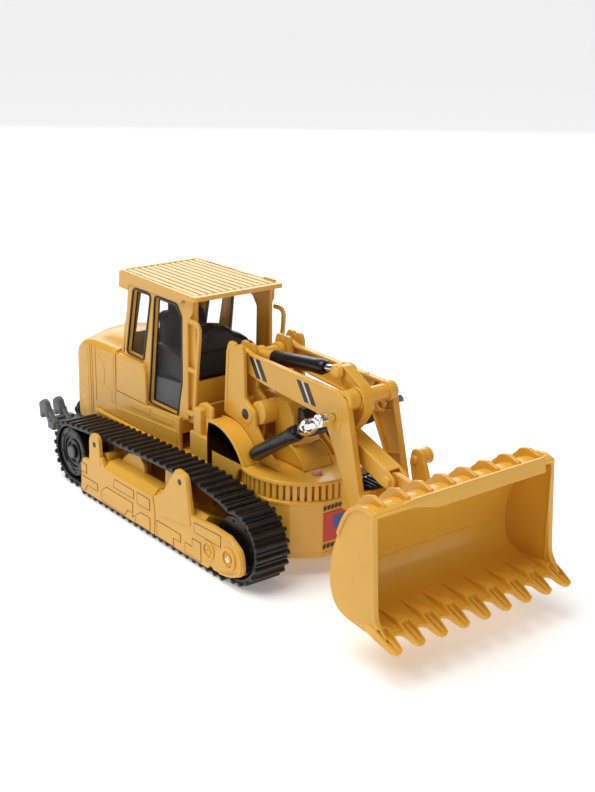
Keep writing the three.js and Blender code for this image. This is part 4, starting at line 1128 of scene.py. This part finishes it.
def lift_rod():
    end = LIFT_REACH
    profile = [(0, 9), (3.0, 9), (3.0, end - 29), (3.8, end - 28), (5.8, end - 20), (6.0, end - 17),
               (4.8, end - 16), (5.4, end - 12), (4.2, end - 9), (4.4, end - 6.5), (3, end - 4),
               (0, end - 4)]
    x, z = LIFT_END
    direction = Vector((LIFT_END[0] - LIFT_BASE[0], LIFT_END[1] - LIFT_BASE[1])).normalized()
    shapes = [ram(LIFT_BASE, LIFT_END, LIFT_Y, profile), pin(x, z, -38.8, -31.4, 5.2, 0.8, 28),
              pin(x, z, -32, -24.5, 2.4, 0.4, 18),
              turned(head(3.4, 1.2, 2), (x, -38.6, z), (0, -1, 0), 6)]
    ear = flat_rail([(x - direction.x * 11, z - direction.y * 11), (x, z)], 3.6)
    for y in (LIFT_Y - 2.4, LIFT_Y + 2.4):
        shapes.append(plate([(*p, 1.6) for p in ear], y - 0.8, y + 0.8, soft=0.4))
    return shapes


sided("lift_ram_tube", lift_tube, BLACK, "lift_barrel_*", "lift_barrel_*")
sided("lift_ram_rod", lift_rod, CHROME, "lift_rod_*", "lift_rod_*")


# ---- bucket ------------------------------------------------------------------------------------
SPINE = [(229, 111.5), (221, 114), (213, 113), (206, 108.5), (200, 100), (195, 88), (191, 76), (188.2, 64),
         (188, 54), (190, 44), (195, 36.5), (203, 32.6), (216, 30.8), (238, 28.9)]


def beside(line, distance):
    """The line moved to its left (towards the bucket's inside) by distance."""
    moved = []
    for i, p in enumerate(line):
        tangent = (line[min(i + 1, len(line) - 1)] - line[max(i - 1, 0)]).normalized()
        moved.append(p + Vector((-tangent.y, tangent.x)) * distance)
    return moved


def bucket_shell():
    line = smooth_line(SPINE, 3)
    return [plate(line + beside(line, 2.6)[::-1], -81, 81, soft=0.7)]


def bucket_sides():
    line = smooth_line(SPINE, 3)
    back = beside(line, -0.8)
    cheek = back + [Vector((243, 28.6)), Vector((243.6, 32.2)), Vector((239, 36.4)), Vector((235.6, 41)),
                    Vector((233.6, 49)), Vector((231, 80)), Vector((229.8, 110.5))]
    shapes = []
    for low, high in ((-83, -80.4), (80.4, 83)):
        shapes.append(plate(cheek, low, high, soft=0.8))
    edge = smooth_line([(229.6, 112.4), (231.4, 80), (233.6, 48), (235.6, 41), (238.4, 37)], 4)
    lip = edge + [p + Vector((-3.2, -1.2)) for p in reversed(edge)]
    for low, high in ((-84.2, -80), (80, 84.2)):
        shapes.append(plate(lip, low, high, soft=0.6))
    top = smooth_line(SPINE[:6], 3)
    for low, high in ((-84.2, -80), (80, 84.2)):
        shapes.append(plate(beside(top, -1.3) + beside(top, 1.6)[::-1], low, high, soft=0.6))
    return shapes


TEETH = [(i - 4) * 20.0 for i in range(9)]


def bucket_rim():
    beam = [(223.5, 110.2, 1.4), (229.6, 109.8, 1.4), (230.6, 113.6, 1.2), (224.6, 115.6, 1.2)]
    guard = [(-60, 113.4, 0.6), (-30, 106.4, 1), (72, 106.4, 0.8), (72, 117, 0.8), (-52, 116.6, 1),
             (-60, 115, 0.6)]

    def lean(x, y, z):
        return (x - (z - 106.4) * 0.17, y, z)

    return [plate(beam, -82.6, 82.6, soft=0.9), plate(guard, 230.6, 233, across="x", soft=0.6, warp=lean)]


def bucket_ribs():
    """Thin ribs on the back whose rounded shoulders stand above the rim."""
    line = smooth_line(SPINE[1:10], 3)
    shapes = []
    for i in range(8):
        y = (i - 3.5) * 20.6
        fall = beside(line, -4.6)
        fall[0] = line[0] + Vector((1, 0.4))
        fall[1] = line[1] + Vector((-0.5, 3.4))
        fall[-1] = line[-1] + Vector((-0.6, 0))
        shapes.append(plate(fall + beside(line, 0.9)[::-1], y - 1.5, y + 1.5, soft=0.6))
        shoulder = [(229, 112.4), (226, 117, 2), (216, 119.6, 5), (207.6, 117.4, 6), (202.4, 108, 4),
                    (206, 108.4), (214, 112.5)]
        shapes.append(plate(shoulder, y - 1.7, y + 1.7, soft=0.7))
    return shapes


def floor_top(x):
    """Height of the floor's upper face near the teeth."""
    return 33.4 - (x - 216) * 0.088


def bucket_tooth(y):
    """One tooth: a ridge that widens along the floor and a rounded tip with a scooped, split recess."""
    rings = []
    for x, half, rise in ((207, 0.25, 0.1), (220, 2.4, 1.6), (231, 4.9, 4.2), (236.6, 5.1, 4.4)):
        low, high = floor_top(x) - 1.5, floor_top(x) + rise
        rings.append([Vector((x, y - half, low)), Vector((x, y + half, low)),
                      Vector((x, y + half * 0.82, high)), Vector((x, y - half * 0.82, high))])
    shapes = [loft(rings)]

    def slope(x, yy, z):
        return (x, y + yy, z - max(0.0, x - 234) * 0.25)

    def fall(x, yy, z):
        t = min(1.0, max(0.0, (x - 236) / 17.5))
        high = (36.2 - 8.4 * t) if z > 32 else (31.8 - 5.6 * t)
        return (x, y + yy - math.copysign(t * t * 1.7, yy) if abs(yy) > 2 else y + yy, high)

    sole = [(232, -5.2, 1), (247, -5.2, 4), (254, -3.6, 3.6), (254, 3.6, 3.6), (247, 5.2, 4), (232, 5.2, 1)]
    shapes.append(plate(sole, 29.8, 32, across="z", soft=0.6, warp=slope))
    for sign in (-1, 1):
        steps = [(236 + 2.9 * k, sign * 5.2) for k in range(7)] + [(253.4 - 2.9 * k, sign * 3.7)
                                                                   for k in range(7)]
        shapes.append(plate(steps, 29, 36, across="z", soft=0.35, warp=fall))
    spine = [(237, 30, 0.5), (237, 34, 0.5), (252, 28.4, 0.8), (252, 26.4, 0.5)]
    shapes.append(plate(spine, y - 0.55, y + 0.55, soft=0.2))
    return shapes


def bucket_lip():
    """The cutting edge with a half-round gap between each pair of teeth."""
    front = [(243, TEETH[0] - 4)]
    for low, high in zip(TEETH, TEETH[1:]):
        front += arc(244.6, (low + high) / 2, 4.9, 268, 92, 8)
    front.append((243, TEETH[-1] + 4))
    outline = [(231, -82), (236, -82, 1)] + front + [(236, 82, 1), (231, 82)]
    return plate(outline, 29.2, 31.6, across="z", soft=0.7, warp=lambda x, y,
                 z: (x, y, z - (x - 236) * 0.25))


def bucket_lugs():
    hx, hz = BUCKET_PIVOT
    lx, lz = LINK_FRONT
    ear = [(hx - 8, hz - 2, 6), (hx - 4, hz + 8, 6), (181, 82, 8), (195.4, 88.4, 1), (191.9, 77, 1),
           (189.2, 64, 1), (189, 54, 1), (190.4, 45.4, 1), (176, 46, 8), (hx, hz - 8, 6)]
    hole = [circle(hx, hz, 3.1, 18)]
    shapes = [plate(ear, y0, y0 + 3.6, holes=hole, soft=0.8) for y0 in (-28.3, -18.3, 14.7, 24.7)]
    nose = [(lx - 5.6, lz - 4, 4), (lx - 4.6, lz + 4.6, 4), (lx + 3, lz + 5.8, 4), (200, 99, 2),
            (193, 78, 2)]
    shapes.append(plate(nose, -9.2, -4.8, soft=0.8))
    horn = [(hx - 8, hz, 5), (hx - 13, hz + 16, 12), (145.6, 98, 5), (147.6, 108.6, 5), (157, 109.6, 5),
            (162, 98, 6), (170, 76, 8), (170, 60, 6)]
    shapes += [plate(horn, 24.7, 28.3, soft=0.8),
               pin(153, 103, 27.8, 35, 5.8, 0.9, 28),
               ring_y(153, 103, 34.4, 36, 6.2, 3.6),
               pin(151, 101, 22.8, 25, 3.2, 0.4, 6)]
    for y in (-34, 34):
        shapes.append(brick(186.2, 190.4, y - 1.6, y + 1.6, 40, 60, 0.5, 1))
    crease = [(189.6, 56.2), (191.5, 57.2, 0.3), (191.5, 58.2, 0.3), (189.6, 59.4)]
    shapes += [plate(crease, -80, 62, soft=0.3),
               brick(188.6, 192.9, -24, -22, 44.6, 46.8, 0.5, 0.9),
               brick(230.2, 231.4, 79.3, 80.8, 38, 108, 0.3, 0.4)]
    return shapes


def bucket():
    shapes = bucket_shell() + bucket_sides() + bucket_rim() + bucket_ribs() + bucket_lugs() + [bucket_lip()]
    for y in TEETH:
        shapes += bucket_tooth(y)
    return shapes


piece("loader_bucket", bucket(), YELLOW, "bucket", ["bucket"])


# ---- ripper ------------------------------------------------------------------------------------
def ripper():
    px, pz = RIPPER_PIVOT
    shapes = [plate([(-247, 27, 2), (-236, 26.6, 2), (-235, 34, 2), (-245, 36, 2)], -61, 61, soft=1.0)]
    claw = [(-236, 27, 2), (-235, 35, 2), (-246, 42, 4), (-251, 50, 3), (-256, 51.6, 2), (-263.6, 47, 2),
            (-262.6, 33, 1.4), (-259, 32.4, 1), (-256.4, 39, 3), (-251, 38, 3), (-247, 28, 3)]
    for y in (-57.5, -43.5, -14, 14, 43.5, 57.5):
        shapes += [plate(claw, y - 2.6, y + 2.6, soft=0.9),
                   plate([(-250, 36), (-245, 36), (-247, 43), (-251, 44)], y - 3.6, y + 3.6, soft=0.7)]
    for y in (-29, 29):
        arm_line = [(px + 4.6, pz - 2, 4), (px + 3, pz + 4.4, 4), (px - 4, pz + 4.6, 4), (-246, 37, 2),
                    (-240, 28, 3)]
        shapes.append(plate(arm_line, y - 2.9, y + 2.9, holes=[circle(px, pz, 2.3, 16)], soft=0.7))
    for sign in (-1, 1):
        wing = rect(-240, -246, sign * 61, sign * 36, 1)
        shapes.append(plate(wing, 35.4, 37.4, across="z", soft=0.4))
    return shapes


def bracket():
    px, pz = RIPPER_PIVOT
    shapes = [brick(-225.8, -222.4, -37.4, -20.6, 43.6, 58.6, 0.7, 1.2)]
    ear = [(px - 5, pz - 1, 4), (px - 1.6, pz + 5.4, 4), (-225, 57, 2), (-222.4, 57, 1), (-222.4, 45, 1),
           (px, pz - 5, 4)]
    for low, high in ((-37.4, -32.4), (-25.6, -20.6)):
        shapes.append(plate(ear, low, high, soft=0.8))
    shapes += [pin(px, pz, -38.6, -19.4, 2.1, 0.4),
               turned(head(3.6, 1.4, 2), (px, -37.2, pz), (0, -1, 0), 6)]
    return shapes


piece("rear_ripper", ripper(), GREY, "ripper", ["ripper"])
sided("ripper_mount", bracket, BLACK, replaces="ripper_bracket_*")


# ---- underside and inner parts that keep their CAD shapes --------------------------------------
KEPT = {
    "belly_cover": YELLOW, "battery_door": YELLOW, "power_switch": BLACK, "battery_pack": CELL,
    "control_board": BOARD, "lift_drive": BLACK, "drive_gearbox_right": BLACK, "drive_gearbox_left": BLACK,
    "drive_motor_right": STEEL, "drive_motor_left": STEEL,
}
for node, material in KEPT.items():
    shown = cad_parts[node]
    shown.data.materials.clear()
    shown.data.materials.append(material)


def belly_details():
    shapes = []
    for x in (-170, -110, 40, 70):
        for y in (-34, 34):
            if x < 60 or abs(y) < 20:
                shapes.append(screw(x, y, 14.0, (0, 0, -1), 2.2, 0.9))
    for k in range(6):
        shapes.append(brick(-16 + 3.4 * k, -14.6 + 3.4 * k, -9, 9, 13.3, 14.3, 0.25, 0.3))
    return shapes


piece("belly_screws", belly_details(), STEEL)


# ---- camera, light and floor -------------------------------------------------------------------
def camera():
    azimuth, elevation, roll = math.radians(51.72), math.radians(18.55), math.radians(0.76)
    back = Vector((math.sin(azimuth) * math.cos(elevation), -math.cos(azimuth) * math.cos(elevation),
                   math.sin(elevation)))
    right = Vector((math.cos(azimuth), math.sin(azimuth), 0))
    up = back.cross(right)
    aim = Vector((0.04335 + SHIFT * MM, 0, 0.1255))
    distance = 1.0115
    data = bpy.data.cameras.new("camera")
    data.lens = 60.44
    data.sensor_width = 36
    data.shift_x = 0.0026
    data.shift_y = -0.0014
    data.clip_start = 0.05
    eye = bpy.data.objects.new("camera", data)
    x_axis = right * math.cos(roll) + up * math.sin(roll)
    y_axis = up * math.cos(roll) - right * math.sin(roll)
    turn = Matrix((x_axis, y_axis, back)).transposed().to_4x4()
    eye.matrix_world = Matrix.Translation(aim + back * distance) @ turn
    bpy.context.scene.collection.objects.link(eye)
    bpy.context.scene.camera = eye


def area_light(name, place, aim, size, power):
    data = bpy.data.lights.new(name, "AREA")
    data.shape = "RECTANGLE"
    data.size, data.size_y = size
    data.energy = power
    lamp = bpy.data.objects.new(name, data)
    lamp.location = place
    lamp.rotation_euler = (Vector(aim) - Vector(place)).to_track_quat("-Z", "Y").to_euler()
    bpy.context.scene.collection.objects.link(lamp)


def sun_light(back, strength):
    """A wide soft sun that shines from the direction back."""
    data = bpy.data.lights.new("sun", "SUN")
    data.energy = strength
    data.angle = math.radians(50)
    lamp = bpy.data.objects.new("sun", data)
    lamp.rotation_euler = (-Vector(back)).to_track_quat("-Z", "Y").to_euler()
    bpy.context.scene.collection.objects.link(lamp)


def floor():
    bm = bmesh.new()
    bmesh.ops.create_grid(bm, x_segments=8, y_segments=8, size=40)
    mesh = bpy.data.meshes.new("floor")
    bm.to_mesh(mesh)
    bm.free()
    ground = bpy.data.objects.new("floor", mesh)
    ground.location.z = -0.0004
    pale = shader("pale_floor", (0.93, 0.93, 0.93), 0.7, tint=0.004, grain=200, bump=0.0)
    pale.node_tree.nodes["Principled BSDF"].inputs["Emission Color"].default_value = (1, 1, 1, 1)
    pale.node_tree.nodes["Principled BSDF"].inputs["Emission Strength"].default_value = 0.2
    mesh.materials.append(pale)
    bpy.context.scene.collection.objects.link(ground)


camera()
floor()
sun_light((-0.2, -0.4, 1.0), 2.2)
area_light("top", (-0.2, -0.2, 1.9), (0, 0, 0), (1.2, 1.2), 5)
area_light("front", (1.6, -0.3, 0.9), (0.1, 0, 0.1), (0.8, 0.8), 5)
area_light("rear", (-1.7, 1.3, 1.0), (0, 0, 0.1), (2.2, 1.2), 22)
world = bpy.data.worlds.new("studio")
bpy.context.scene.world = world
world.use_nodes = True
world.node_tree.nodes["Background"].inputs["Color"].default_value = (1, 1, 1, 1)
world.node_tree.nodes["Background"].inputs["Strength"].default_value = 0.14
bpy.context.scene.view_settings.view_transform = "Standard"
